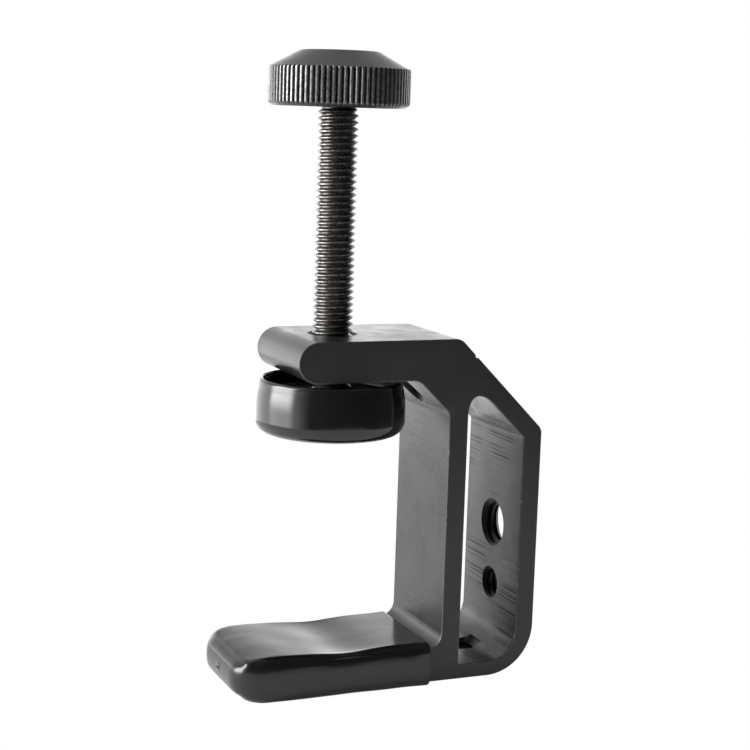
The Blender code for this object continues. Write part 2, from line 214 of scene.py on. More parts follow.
class Effects:
    """Shader node groups, each built once and placed in every finish that needs it."""

    def __init__(self) -> None:
        """Build all groups."""
        self.streaks = self._streaks()
        self.handling = self._handling()
        self.specks = self._specks()

    @staticmethod
    def _streaks() -> bpy.types.NodeTree:
        """Fine parallel die lines with a few deeper scratches, drawn along the stretched direction.

        Returns:
            The group's tree.
        """
        kinds = {"Vector": "NodeSocketVector", "Stretch": "NodeSocketVector", "Depth": "NodeSocketFloat"}
        tree, g, source, sink = make_group("drawn_streaks", kinds, ("Height", "Scratch"))
        stretched = g.add("VectorMath", {0: source.outputs["Vector"], 1: source.outputs["Stretch"]},
                          operation="MULTIPLY").outputs[0]
        fine = g.add("TexNoise", {"Vector": stretched, "Scale": 1.0, "Detail": 3.0,
                                  "Roughness": 0.7}).outputs[0]
        broad = g.add("TexNoise", {"Vector": stretched, "Scale": 0.62, "Detail": 2.0}).outputs[0]
        patch = g.add("TexNoise", {"Vector": source.outputs["Vector"], "Scale": 70.0,
                                   "Detail": 2.0}).outputs[0]
        scratch = g.math("MULTIPLY", g.remap(broad, 0.53, 0.62, 0.0, 1.0),
                         g.remap(patch, 0.42, 0.60, 0.12, 1.0))
        cut = g.math("MULTIPLY", scratch, 0.8)
        height = g.math("SUBTRACT", g.math("ADD", fine, g.math("MULTIPLY", broad, 0.6)), cut)
        tree.links.new(g.math("MULTIPLY", height, source.outputs["Depth"]), sink.inputs["Height"])
        tree.links.new(scratch, sink.inputs["Scratch"])
        return tree

    @staticmethod
    def _handling() -> bpy.types.NodeTree:
        """Soft cloudy smudges from handling, over patches of a given size.

        Returns:
            The group's tree.
        """
        kinds = {"Vector": "NodeSocketVector", "Patches": "NodeSocketFloat"}
        tree, g, source, sink = make_group("handling_smudges", kinds, ("Smudge", "Grain"))
        cloud = g.add("TexNoise", {"Vector": source.outputs["Vector"], "Scale": source.outputs["Patches"],
                                   "Detail": 4.0, "Roughness": 0.6, "Distortion": 0.6}).outputs[0]
        tree.links.new(g.remap(cloud, 0.34, 0.68, 0.0, 1.0), sink.inputs["Smudge"])
        fine = g.math("MULTIPLY", source.outputs["Patches"], 60.0)
        grain = g.add("TexNoise", {"Vector": source.outputs["Vector"], "Scale": fine,
                                   "Detail": 2.0}).outputs[0]
        tree.links.new(grain, sink.inputs["Grain"])
        return tree

    @staticmethod
    def _specks() -> bpy.types.NodeTree:
        """Sparse pale specks, such as settled dust and small nicks.

        Returns:
            The group's tree.
        """
        kinds = {"Vector": "NodeSocketVector", "Density": "NodeSocketFloat", "Size": "NodeSocketFloat"}
        tree, g, source, sink = make_group("dust_specks", kinds, ("Speck",))
        cells = g.add("TexVoronoi", {"Vector": source.outputs["Vector"], "Scale": source.outputs["Density"]})
        near = g.math("LESS_THAN", cells.outputs["Distance"], source.outputs["Size"])
        chance = g.add("SeparateColor", {0: cells.outputs["Color"]}).outputs[0]
        kept = g.math("GREATER_THAN", chance, 0.72)
        tree.links.new(g.math("MULTIPLY", near, kept), sink.inputs["Speck"])
        return tree


EFFECTS = Effects()


@dataclass(frozen=True)
class Finish:
    """A material finish: what every finish shares, with a bump of real height in metres."""

    name: str
    color: tuple[float, float, float]
    metallic: float
    roughness: float
    ior: float = 1.5

    def start(self) -> tuple[bpy.types.Material, Graph, bpy.types.Node, bpy.types.NodeSocket]:
        """Create the material with its constants set on the shader.

        Returns:
            The material, a graph on its tree, the shader and the object coordinates.
        """
        made = bpy.data.materials.new(self.name)
        made.use_nodes = True
        graph = Graph(made.node_tree)
        shader = made.node_tree.nodes["Principled BSDF"]
        shader.inputs["Base Color"].default_value = (*self.color, 1.0)
        shader.inputs["Metallic"].default_value = self.metallic
        shader.inputs["Roughness"].default_value = self.roughness
        shader.inputs["IOR"].default_value = self.ior
        made.diffuse_color = (*self.color, 1.0)
        place = graph.add("TexCoord").outputs["Object"]
        return made, graph, shader, place

    @staticmethod
    def effect(graph: Graph, tree: bpy.types.NodeTree, inputs: dict) -> bpy.types.Node:
        """Place a shared effect in a material.

        Args:
            graph: the material's graph.
            tree: the effect's group.
            inputs: values or sockets by input name.

        Returns:
            The group node.
        """
        node = graph.tree.nodes.new("ShaderNodeGroup")
        node.node_tree = tree
        for key, value in inputs.items():
            if isinstance(value, bpy.types.NodeSocket):
                graph.tree.links.new(value, node.inputs[key])
            else:
                node.inputs[key].default_value = value
        return node

    @staticmethod
    def relief(graph: Graph, shader: bpy.types.Node, height: bpy.types.NodeSocket, depth: float,
               strength: float = 1.0) -> None:
        """Drive the shader's normal with a bump.

        Args:
            graph: the material's graph.
            shader: its Principled BSDF.
            height: the bump's height, about 0 to 1.
            depth: what a height of 1 is, in metres.
            strength: the bump's strength.
        """
        bump = graph.add("Bump", {"Height": height, "Distance": depth, "Strength": strength})
        graph.tree.links.new(bump.outputs["Normal"], shader.inputs["Normal"])

    def tone(self, factor: float) -> tuple[float, float, float, float]:
        """The finish's colour made lighter or darker by a factor."""
        return (*(min(1.0, c * factor) for c in self.color), 1.0)


@dataclass(frozen=True)
class AnodisedSkin(Finish):
    """Black anodised extrusion skin, with die lines along the extrusion."""

    streak_stretch: tuple[float, float, float] = (5200.0, 26.0, 5200.0)
    streak_depth: float = 1.0
    scratched: float = 0.25
    cloudiness: float = 0.10

    def build(self) -> bpy.types.Material:
        """Make the material.

        Returns:
            The material.
        """
        made, g, shader, place = self.start()
        drawn = self.effect(g, EFFECTS.streaks, {"Vector": place, "Stretch": self.streak_stretch,
                                                 "Depth": self.streak_depth})
        handled = self.effect(g, EFFECTS.handling, {"Vector": place, "Patches": 95.0})
        dust = self.effect(g, EFFECTS.specks, {"Vector": place, "Density": 900.0, "Size": 0.055})
        worn = g.blend(handled.outputs["Smudge"], self.tone(0.85), self.tone(1.25))
        dusty = g.blend(g.math("MULTIPLY", dust.outputs["Speck"], 0.5), worn, (0.3, 0.3, 0.3, 1.0))
        scratched = g.blend(g.math("MULTIPLY", drawn.outputs["Scratch"], 0.6), dusty, self.tone(0.3))
        g.tree.links.new(scratched, shader.inputs["Base Color"])
        cloudy = g.math("MULTIPLY_ADD", handled.outputs["Smudge"], self.cloudiness, self.roughness - 0.05)
        gloss = g.math("MULTIPLY_ADD", drawn.outputs["Scratch"], 0.30 * self.scratched, cloudy)
        g.tree.links.new(gloss, shader.inputs["Roughness"])
        rubbed = 0.9 * self.scratched * (1 - self.metallic)
        bare = g.math("MULTIPLY_ADD", drawn.outputs["Scratch"], rubbed, self.metallic)
        g.tree.links.new(bare, shader.inputs["Metallic"])
        grain = g.math("MULTIPLY", handled.outputs["Grain"], 0.5)
        self.relief(g, shader, g.math("ADD", drawn.outputs["Height"], grain), 8.0e-6)
        return made


@dataclass(frozen=True)
class SawnFace(Finish):
    """The extrusion's cut ends: a fine saw grain, anodised over."""

    def build(self) -> bpy.types.Material:
        """Make the material.

        Returns:
            The material.
        """
        made, g, shader, place = self.start()
        turned = g.add("Mapping", {"Vector": place, "Rotation": (0.0, math.radians(8), 0.0)}).outputs[0]
        saw = self.effect(g, EFFECTS.streaks, {"Vector": turned, "Stretch": (70.0, 900.0, 6500.0),
                                               "Depth": 1.0})
        handled = self.effect(g, EFFECTS.handling, {"Vector": place, "Patches": 60.0})
        worn = g.blend(handled.outputs["Smudge"], self.tone(0.9), self.tone(1.15))
        g.tree.links.new(worn, shader.inputs["Base Color"])
        gloss = g.math("MULTIPLY_ADD", handled.outputs["Smudge"], 0.08, self.roughness - 0.04)
        g.tree.links.new(gloss, shader.inputs["Roughness"])
        grain = g.math("MULTIPLY", handled.outputs["Grain"], 0.6)
        self.relief(g, shader, g.math("ADD", saw.outputs["Height"], grain), 1.2e-6)
        return made


@dataclass(frozen=True)
class BrokenEdge(Finish):
    """A narrow deburred edge, lighter than the skin: partly thinner anodising that rubs through in places,
    partly a painted highlight along the edge.
    """

    def build(self) -> bpy.types.Material:
        """Make the material.

        Returns:
            The material.
        """
        made, g, shader, place = self.start()
        nicks = g.add("TexNoise", {"Vector": place, "Scale": 700.0, "Detail": 3.0}).outputs[0]
        bare = g.remap(nicks, 0.60, 0.72, 0.0, 1.0)
        g.tree.links.new(g.blend(bare, self.tone(1.0), self.tone(3.0)), shader.inputs["Base Color"])
        g.tree.links.new(g.math("MULTIPLY_ADD", nicks, 0.2, self.roughness), shader.inputs["Roughness"])
        return made


@dataclass(frozen=True)
class VinylDip(Finish):
    """Glossy dipped vinyl: a smooth skin with slow ripples and a little dust."""

    def build(self) -> bpy.types.Material:
        """Make the material.

        Returns:
            The material.
        """
        made, g, shader, place = self.start()
        handled = self.effect(g, EFFECTS.handling, {"Vector": place, "Patches": 140.0})
        dust = self.effect(g, EFFECTS.specks, {"Vector": place, "Density": 700.0, "Size": 0.05})
        dusted = g.math("MULTIPLY", dust.outputs["Speck"], 0.35)
        grey = g.blend(dusted, self.tone(1.0), (0.25, 0.26, 0.27, 1.0))
        g.tree.links.new(grey, shader.inputs["Base Color"])
        gloss = g.math("MULTIPLY_ADD", handled.outputs["Smudge"], 0.06, self.roughness)
        g.tree.links.new(gloss, shader.inputs["Roughness"])
        ripple = g.add("TexNoise", {"Vector": place, "Scale": 210.0, "Detail": 1.0}).outputs[0]
        height = g.math("ADD", ripple, g.math("MULTIPLY", dust.outputs["Speck"], 0.25))
        self.relief(g, shader, height, 2.6e-5)
        return made


@dataclass(frozen=True)
class TurnedMetal(Finish):
    """Metal turned about the Z axis: fine tool rings, and paler outermost crests, partly a rub and partly a
    painted highlight.
    """

    ring_pitch: float = 0.00012
    ring_depth: float = 1.0e-6
    crest_radius: float = 1.0
    crest_depth: float = 0.0001
    crest_rub_and_highlight_tone: float = 4.0
    fleck_floor: float = 0.25

    def build(self) -> bpy.types.Material:
        """Make the material.

        Returns:
            The material.
        """
        made, g, shader, place = self.start()
        parts = g.add("SeparateXYZ", {0: place}).outputs
        square = g.math("ADD", g.math("MULTIPLY", parts[0], parts[0]), g.math("MULTIPLY", parts[1], parts[1]))
        radius = g.math("SQRT", square)
        travel = g.math("ADD", radius, parts[2])
        wobble = g.add("TexNoise", {"Vector": place, "Scale": 300.0, "Detail": 2.0}).outputs[0]
        fleck = g.add("TexNoise", {"Vector": place, "Scale": 1500.0, "Detail": 3.0}).outputs[0]
        phase = g.math("MULTIPLY", travel, 2 * math.pi / self.ring_pitch)
        rings = g.math("SINE", g.math("MULTIPLY_ADD", wobble, 2.0, phase))
        handled = self.effect(g, EFFECTS.handling, {"Vector": place, "Patches": 120.0})
        # Paler outermost crests: partly rub, partly a painted highlight on the crests.
        crest = g.remap(radius, self.crest_radius - self.crest_depth, self.crest_radius, 0.0, 1.0)
        rubbed = g.math("MULTIPLY", crest, g.remap(fleck, 0.40, 0.58, self.fleck_floor, 1.0))
        plain = g.blend(handled.outputs["Smudge"], self.tone(0.85), self.tone(1.2))
        g.tree.links.new(g.blend(rubbed, plain, self.tone(self.crest_rub_and_highlight_tone)), shader.inputs["Base Color"])
        cloudy = g.math("MULTIPLY_ADD", handled.outputs["Smudge"], 0.10, self.roughness - 0.05)
        g.tree.links.new(cloudy, shader.inputs["Roughness"])
        height = g.math("MULTIPLY_ADD", handled.outputs["Grain"], 0.8, rings)
        self.relief(g, shader, height, self.ring_depth)
        return made


# ---------------------------------------------------------------------------------------------------
# Shape helpers


def add_piece(name: str, bm: bmesh.types.BMesh, materials: Iterable[bpy.types.Material] = (),
              sharp: float = SHARP_ANGLE) -> bpy.types.Object:
    """Turn a bmesh into an object at the origin, with its faces pointing out.

    Args:
        name: the object's name.
        bm: the shape, which is freed.
        materials: the object's materials, in slot order.
        sharp: edges over this angle in degrees stay sharp.

    Returns:
        The new object.
    """
    bmesh.ops.recalc_face_normals(bm, faces=bm.faces)
    mesh = bpy.data.meshes.new(name)
    bm.to_mesh(mesh)
    bm.free()
    for finish in materials:
        mesh.materials.append(finish)
    mesh.shade_smooth()
    mesh.set_sharp_from_angle(angle=math.radians(sharp))
    made = bpy.data.objects.new(name, mesh)
    bpy.context.scene.collection.objects.link(made)
    return made


def weigh_normals(piece: bpy.types.Object) -> None:
    """Keep large flat faces flat to the eye beside their fillets.

    Args:
        piece: the piece to dress.
    """
    modifier = piece.modifiers.new("flat_face_normals", "WEIGHTED_NORMAL")
    modifier.keep_sharp = True
    modifier.weight = 100


def cut(target: bpy.types.Object, tools: Sequence[bpy.types.Object], operation: str = "DIFFERENCE",
        sharp: float = SHARP_ANGLE) -> None:
    """Cut or join tools with a piece, make the result its mesh, and remove the tools.

    Args:
        target: the piece.
        tools: closed solids that don't overlap each other.
        operation: the Boolean's operation.
        sharp: edges over this angle in degrees stay sharp.
    """
    for tool in tools:
        modifier = target.modifiers.new(tool.name, "BOOLEAN")
        modifier.operation = operation
        modifier.object = tool
        modifier.solver = "EXACT"
    bpy.context.view_layer.update()
    graph = bpy.context.evaluated_depsgraph_get()
    result = bpy.data.meshes.new_from_object(target.evaluated_get(graph))
    target.modifiers.clear()
    old = target.data
    target.data = result
    result.name = target.name
    bpy.data.meshes.remove(old)
    for tool in tools:
        bpy.data.meshes.remove(tool.data)
    result.shade_smooth()
    result.set_sharp_from_angle(angle=math.radians(sharp))


def rounded_face(bm: bmesh.types.BMesh, corners: Sequence[tuple[float, float, float]], y: float,
                 steps: Callable[[float], int]) -> bmesh.types.BMFace:
    """A flat face in XZ whose corners are rounded.

    Args:
        bm: where the face is made.
        corners: (x, z, fillet radius) of each corner, in order round the face.
        y: the face's level.
        steps: how many segments a fillet of a given radius takes.

    Returns:
        The rounded face.
    """
    verts = [bm.verts.new((x, y, z)) for x, z, _ in corners]
    face = bm.faces.new(verts)
    count = len(corners)
    for index, (vert, (_, _, radius)) in enumerate(zip(verts, corners)):
        if radius == 0:
            continue
        back = Vector(corners[index - 1][:2]) - Vector(corners[index][:2])
        ahead = Vector(corners[(index + 1) % count][:2]) - Vector(corners[index][:2])
        reach = radius / math.tan(back.angle(ahead) / 2)
        bmesh.ops.bevel(bm, geom=[vert], offset=reach, offset_type="OFFSET", segments=steps(radius),
                        profile=0.5, affect="VERTICES", clamp_overlap=False, material=-1)
    return face


def extrude(bm: bmesh.types.BMesh, faces: Sequence[bmesh.types.BMFace], run: Vector) -> None:
    """Extrude faces into a closed solid along a run."""
    side = bmesh.ops.extrude_face_region(bm, geom=list(faces))["geom"]
    bmesh.ops.translate(bm, vec=run, verts=[v for v in side if isinstance(v, bmesh.types.BMVert)])


def taper_nose(bm: bmesh.types.BMesh, nose: float, middle: float) -> None:
    """Thin the jaw's hidden nose towards its tip, so that the coat over it can be round.

    Args:
        bm: the jaw or its cavity.
        nose: x of its tip.
        middle: the level that it thins towards.
    """
    for vert in bm.verts:
        near = max(0.0, 1 - (vert.co.x - nose) / NOSE_TAPER_REACH)
        vert.co.z = middle + (vert.co.z - middle) * (1 - NOSE_TAPER_SHARE * near**2)


def turned(profile: Sequence[tuple[float, float]], segments: int) -> bmesh.types.BMesh:
    """A closed solid spun about Z.

    Args:
        profile: (radius, z) points, as a loop if it doesn't start on the axis.
        segments: how many steps the full turn takes.

    Returns:
        The solid.
    """
    bm = bmesh.new()
    verts = [bm.verts.new((radius, 0, z)) for radius, z in profile]
    edges = [bm.edges.new(pair) for pair in zip(verts, verts[1:])]
    if profile[0][0] > 0:
        edges.append(bm.edges.new((verts[-1], verts[0])))
    bmesh.ops.spin(bm, geom=verts + edges, cent=(0, 0, 0), axis=(0, 0, 1), angle=2 * math.pi, steps=segments,
                   use_merge=True)
    bmesh.ops.remove_doubles(bm, verts=bm.verts, dist=MERGE_DISTANCE)
    bmesh.ops.recalc_face_normals(bm, faces=bm.faces)
    return bm


def arc(centre: tuple[float, float], radius: float, start: float, end: float,
        steps: int) -> list[tuple[float, float]]:
    """Points of an arc for a turned profile, with its angles in degrees.

    Args:
        centre: the arc's centre, as (radius, z).
        radius: the arc's radius.
        start: the first point's angle.
        end: the last point's angle.
        steps: how many segments it has.

    Returns:
        The (radius, z) points.
    """
    angles = [math.radians(start + (end - start) * step / steps) for step in range(steps + 1)]
    return [(centre[0] + radius * math.cos(a), centre[1] + radius * math.sin(a)) for a in angles]


def softened(profile: Sequence[tuple[float, float]], radii: Sequence[float],
             steps: int) -> list[tuple[float, float]]:
    """Round the corners of a turned loop with short curves.

    Args:
        profile: (radius, z) corners.
        radii: how far along its sides each corner is cut back, 0 for a sharp one.
        steps: segments in each rounded corner.

    Returns:
        The finer profile.
    """
    out: list[tuple[float, float]] = []
    count = len(profile)
    for index, (corner, reach) in enumerate(zip(profile, radii)):
        if reach == 0:
            out.append(corner)
            continue
        here = Vector(corner)
        back = (Vector(profile[index - 1]) - here).normalized() * reach
        ahead = (Vector(profile[(index + 1) % count]) - here).normalized() * reach
        for step in range(steps + 1):
            share = step / steps
            point = here + back * (1 - share) ** 2 + ahead * share**2
            out.append((point.x, point.y))
    return out


@dataclass(frozen=True)
class ThreadForm:
    """A 60 degree right-hand thread, with its crests at half a pitch above every whole pitch from z 0."""

    crest_radius: float
    root_radius: float
    pitch: float
    crest_share: float = 0.125
    segments: int = 48

    def rod(self, low: float, high: float) -> bmesh.types.BMesh:
        """A closed threaded rod about Z.

        Args:
            low: its lower end.
            high: its upper end.

        Returns:
            The solid.
        """
        crest_half = self.crest_share / 2
        flank = (self.crest_radius - self.root_radius) * AXIAL_PER_RADIAL / self.pitch
        root_half = max(0.02, 0.5 - crest_half - flank)
        tooth = ((root_half, self.root_radius), (0.5 - crest_half, self.crest_radius),
                 (0.5 + crest_half, self.crest_radius), (1 - root_half, self.root_radius))
        first = math.floor(low / self.pitch) - 2
        last = math.ceil(high / self.pitch) + 1
        bm = bmesh.new()
        verts = [bm.verts.new((radius, 0, (turn + share) * self.pitch))
                 for turn in range(first, last) for share, radius in tooth]
        edges = [bm.edges.new(pair) for pair in zip(verts, verts[1:])]
        bmesh.ops.spin(bm, geom=verts + edges, cent=(0, 0, 0), axis=(0, 0, 1), angle=2 * math.pi,
                       dvec=(0, 0, self.pitch / self.segments), steps=self.segments)
        bmesh.ops.remove_doubles(bm, verts=bm.verts, dist=MERGE_DISTANCE)
        for level, normal in ((low, -1), (high, 1)):
            bmesh.ops.bisect_plane(bm, geom=bm.verts[:] + bm.edges[:] + bm.faces[:], dist=CUT_TOLERANCE,
                                   plane_co=(0, 0, level), plane_no=(0, 0, normal), clear_outer=True)
        bmesh.ops.holes_fill(bm, edges=bm.edges, sides=0)
        bmesh.ops.recalc_face_normals(bm, faces=bm.faces)
        return bm

    def taper(self, bm: bmesh.types.BMesh, tip: float, inward: int, start_radius: float) -> None:
        """Chamfer a rod's end at 45 degrees by drawing its crests in.

        Args:
            bm: the rod.
            tip: the end's level.
            inward: 1 if the rod lies above the tip, -1 if below.
            start_radius: the radius at the tip.
        """
        for vert in bm.verts:
            limit = start_radius + (vert.co.z - tip) * inward
            radius = math.hypot(vert.co.x, vert.co.y)
            if radius > limit:
                scale = max(limit, self.root_radius * 0.9) / radius
                vert.co.x *= scale
                vert.co.y *= scale


def ripple(place: Vector, size: float, seed: float) -> float:
    """Smooth noise from -1 to 1 with features of a given size, the same each run."""
    return noise.noise(place / size + Vector((seed, seed * 0.7, -seed)))


def mounted(piece: bpy.types.Object, body: Body, slot: Slot, *nodes: str) -> None:
    """Let a piece ride on a body and stand for CAD nodes.

    Args:
        piece: the finished piece.
        body: the body that it moves with.
        slot: the record's material slot; not used.
        *nodes: the CAD nodes that it replaces.
    """
    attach(piece, body.value)
    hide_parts(*nodes)
    LOG.info("%s: %d faces, on %s, for %s", piece.name, len(piece.data.polygons), body.value,
             ", ".join(nodes))


# ---------------------------------------------------------------------------------------------------
# Sub-assemblies


@dataclass
class FrameExtrusion:
    """The C-shaped aluminium extrusion with its hollow back and its tapped holes."""

    arm_thickness: float = 8.0 * MM
    arm_reach: float = 11.25 * MM
    jaw_plan_fillet: float = 5.5 * MM
    throat_depth: float = 20.5 * MM
    web: float = 4.0 * MM
    channel_depth: float = 12.5 * MM
    floor_wall: float = 3.0 * MM
    jaw_thickness: float = 6.85 * MM
    slope_start: float = 22.4 * MM
    slope_wall: float = 4.0 * MM
    shoulder: float = 11.8 * MM
    large_hole_height: float = 28.65 * MM
    small_hole_height: float = 15.8 * MM
    slope_hole_distance: float = 4.9 * MM
    guide_width: float = 1.2 * MM
    guide_depth: float = 0.4 * MM
    edge_break: float = 0.22 * MM
    sink_margin: float = 0.35 * MM
    sink_depth: float = 1.3 * MM
    countersink: float = 9.8 * MM
    arm_tap_radius: float = 4.08 * MM
    large_tap_radius: float = 4.80 * MM
    small_tap_radius: float = 3.20 * MM
    low: Vector = field(default_factory=lambda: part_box("frame")[0])
    high: Vector = field(default_factory=lambda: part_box("frame")[1])

    def __post_init__(self) -> None:
        """Work out the levels that follow from the sizes."""
        self.arm_under = self.high.z - self.arm_thickness
        self.web_back = self.throat_depth + self.web
        self.back_inner = self.web_back + self.channel_depth
        self.jaw_top = self.low.z + self.jaw_thickness
        self.floor_top = self.low.z + self.floor_wall
        self.outer_sum = self.slope_start + self.high.z
        self.channel_sum = self.outer_sum - self.slope_wall * math.sqrt(2)
        self.throat_sum = self.outer_sum - self.shoulder * math.sqrt(2)

    def outline(self) -> list[tuple[float, float, float]]:
        """The outer outline's corners, as (x, z, fillet radius).

        Returns:
            The corners, in order round the outline.
        """
        back, half = self.high.x, self.arm_thickness / 2
        return [
            (self.low.x, self.low.z, 0.0),
            (back, self.low.z, 10.0 * MM),
            (back, self.outer_sum - back, 2.0 * MM),
            (self.slope_start, self.high.z, 2.5 * MM),
            (-self.arm_reach, self.high.z, half),
            (-self.arm_reach, self.arm_under, half),
            (self.throat_sum - self.arm_under, self.arm_under, 2.8 * MM),
            (self.throat_depth, self.throat_sum - self.throat_depth, 2.0 * MM),
            (self.throat_depth, self.jaw_top, 3.0 * MM),
            (self.low.x, self.jaw_top, 0.0),
        ]

    def channel(self) -> list[tuple[float, float, float]]:
        """The rear channel's corners, as (x, z, fillet radius).

        Returns:
            The corners, in order round the channel.
        """
        return [
            (self.web_back, self.floor_top, 0.6 * MM),
            (self.back_inner, self.floor_top, 6.0 * MM),
            (self.back_inner, self.channel_sum - self.back_inner, 0.6 * MM),
            (self.web_back, self.channel_sum - self.web_back, 3.2 * MM),
        ]

    @staticmethod
    def fillet_steps(radius: float) -> int:
        """Segments in a fillet, from about 6 in a small one to 20 in the heel."""
        return max(5, min(20, round(4 + radius / MM * 2)))

    def body(self) -> bmesh.types.BMesh:
        """The extrusion's profile run along Y, with its cut ends' edges broken.

        Returns:
            The solid.
        """
        bm = bmesh.new()
        for corners in (self.outline(), self.channel()):
            rounded_face(bm, corners, self.low.y, self.fillet_steps)
        bmesh.ops.remove_doubles(bm, verts=bm.verts, dist=MERGE_DISTANCE)
        loops = bm.edges[:]
        bmesh.ops.delete(bm, geom=bm.faces[:], context="FACES_ONLY")
        bmesh.ops.triangle_fill(bm, edges=loops, use_beauty=True)
        extrude(bm, bm.faces[:], Vector((0, self.high.y - self.low.y, 0)))
        bmesh.ops.recalc_face_normals(bm, faces=bm.faces)
        nose = [e for e in bm.edges
                if all(abs(v.co.x - self.low.x) < MERGE_DISTANCE for v in e.verts)
                and abs(e.verts[0].co.y - e.verts[1].co.y) < MERGE_DISTANCE]
        bmesh.ops.bevel(bm, geom=nose, offset=self.jaw_plan_fillet, segments=8, profile=0.5, affect="EDGES",
                        material=-1)
        self.break_edges(bm)
        taper_nose(bm, self.low.x, (self.low.z + self.jaw_top) / 2)
        return bm

    def break_edges(self, bm: bmesh.types.BMesh) -> None:
        """Round the cut ends' edges by insetting the end faces twice, and name each face's surface.

        Args:
            bm: the extrusion.
        """
        for face in bm.faces:
            face.material_index = Surface.DRAWN.value
        soft = self.edge_break
        slide = soft * (1 - math.sqrt(0.5))
        slack = MM / 10
        for face in bm.faces:
            at = face.calc_center_median()
            in_height = self.floor_top - slack < at.z < self.channel_sum - at.x + slack
            in_length = self.web_back - slack < at.x < self.back_inner + slack
            if in_height and in_length and abs(face.normal.y) < 0.5:
                face.material_index = Surface.CHANNEL.value
        for side in (-1, 1):
            ends = [f for f in bm.faces if f.normal.y * side > 0.99]
            bmesh.ops.translate(bm, vec=(0, -side * soft, 0), verts=list({v for f in ends for v in f.verts}))
            for thickness, depth in ((slide, soft - slide), (soft - slide, slide)):
                made = bmesh.ops.inset_region(bm, faces=ends, thickness=thickness, depth=depth,
                                              use_even_offset=True, use_boundary=True)
                for face in made["faces"]:
                    face.material_index = Surface.BROKEN_EDGE.value
            for face in ends:
                face.material_index = Surface.SAWN.value

    def slope_point(self, distance: float, out: float) -> Vector:
        """A point this far down the outer slope from the arm's corner, and this far out of its face.

        Args:
            distance: how far down the slope.
            out: how far out of its face, less than 0 for inside.

        Returns:
            The point.
        """
        down = Vector((1, 0, -1)).normalized() * distance
        proud = Vector((1, 0, 1)).normalized() * out
        return Vector((self.slope_start, 0, self.high.z)) + down + proud

    def tool(self, name: str, bm: bmesh.types.BMesh, place: Matrix | None = None) -> bpy.types.Object:
        """Place a cutting tool whose cut surface is a tapped one.

        Args:
            name: the tool's name.
            bm: the tool's shape.
            place: where it goes.

        Returns:
            The tool's object.
        """
        if place:
            bmesh.ops.transform(bm, matrix=place, verts=bm.verts)
        for face in bm.faces:
            face.material_index = Surface.TAPPED.value
        return add_piece(name, bm, self.finishes())

    def finishes(self) -> list[bpy.types.Material]:
        """The frame's five finishes, in the order of Surface, made once.

        Returns:
            The materials.
        """
        if not hasattr(self, "_finishes"):
            skin = (0.030, 0.030, 0.0307)
            self._finishes = [
                AnodisedSkin("anodised_drawn_skin", skin, 0.7, 0.30, ior=1.9).build(),
                SawnFace("anodised_sawn_face", (0.022, 0.022, 0.0228), 0.15, 0.44, ior=1.5).build(),
                # The broken edges are lighter than the skin: partly rub-through, partly a painted highlight.
                BrokenEdge("anodised_broken_edge", (0.06, 0.06, 0.062), 0.6, 0.30, ior=1.7).build(),
                # The tapped holes take a darker copy of the skin: painted shade inside the holes.
                AnodisedSkin("anodised_tapped_thread", (0.014, 0.014, 0.015), 0.4, 0.45).build(),
                # The channel's skin is a lighter copy of the drawn skin: painted light inside the channel,
                # along with its heavier real scratches and clouding.
                AnodisedSkin("anodised_channel_skin", (0.055, 0.055, 0.056), 0.75, 0.27, ior=2.0,
                             scratched=0.9, cloudiness=0.22).build(),
            ]
        return self._finishes

    def tap_tools(self) -> list[bpy.types.Object]:
        """The taps: a threaded rod for every tapped hole, as the tool that cuts it.

        Returns:
            The cutting tools.
        """
        arm_tap = ThreadForm(self.arm_tap_radius, 3.40 * MM, 1.25 * MM, crest_share=0.22)
        large = ThreadForm(self.large_tap_radius, 4.00 * MM, 1.5875 * MM)
        small = ThreadForm(self.small_tap_radius, 2.58 * MM, 1.27 * MM, segments=36)
        reach = 1.5 * MM
        middle = self.web_back + self.channel_depth / 2
        sideways = Matrix.Rotation(math.pi / 2, 4, "Y")
        square = Z_AXIS.rotation_difference(Vector((1, 0, 1))).to_matrix().to_4x4()
        wall = self.high.x - self.back_inner
        plans = (
            ("arm_tap", arm_tap.rod(self.arm_under - reach, self.high.z + reach), Matrix.Identity(4)),
            ("large_tap", large.rod(-reach, wall + reach),
             Matrix.Translation((self.back_inner, 0, self.low.z + self.large_hole_height)) @ sideways),
            ("small_tap", small.rod(-reach, wall + reach),
             Matrix.Translation((self.back_inner, 0, self.low.z + self.small_hole_height)) @ sideways),
            ("slope_tap", small.rod(-self.shoulder - reach, reach),
             Matrix.Translation(self.slope_point(self.slope_hole_distance, 0)) @ square),
            ("floor_tap", small.rod(-reach, self.floor_wall + reach),
             Matrix.Translation((middle, 0, self.low.z))),
        )
        return [self.tool(name, bm, place) for name, bm, place in plans]

    def sink_tools(self) -> list[bpy.types.Object]:
        """Countersinks at the holes' mouths.

        Returns:
            The cutting tools.
        """

        def cone(radius: float, depth: float) -> bmesh.types.BMesh:
            """A 90 degree countersink whose mouth has this radius at z 0, reaching down to a depth."""
            over = 1.0 * MM
            return turned([(0, -depth), (radius - depth, -depth), (radius + over, over), (0, over)], 64)

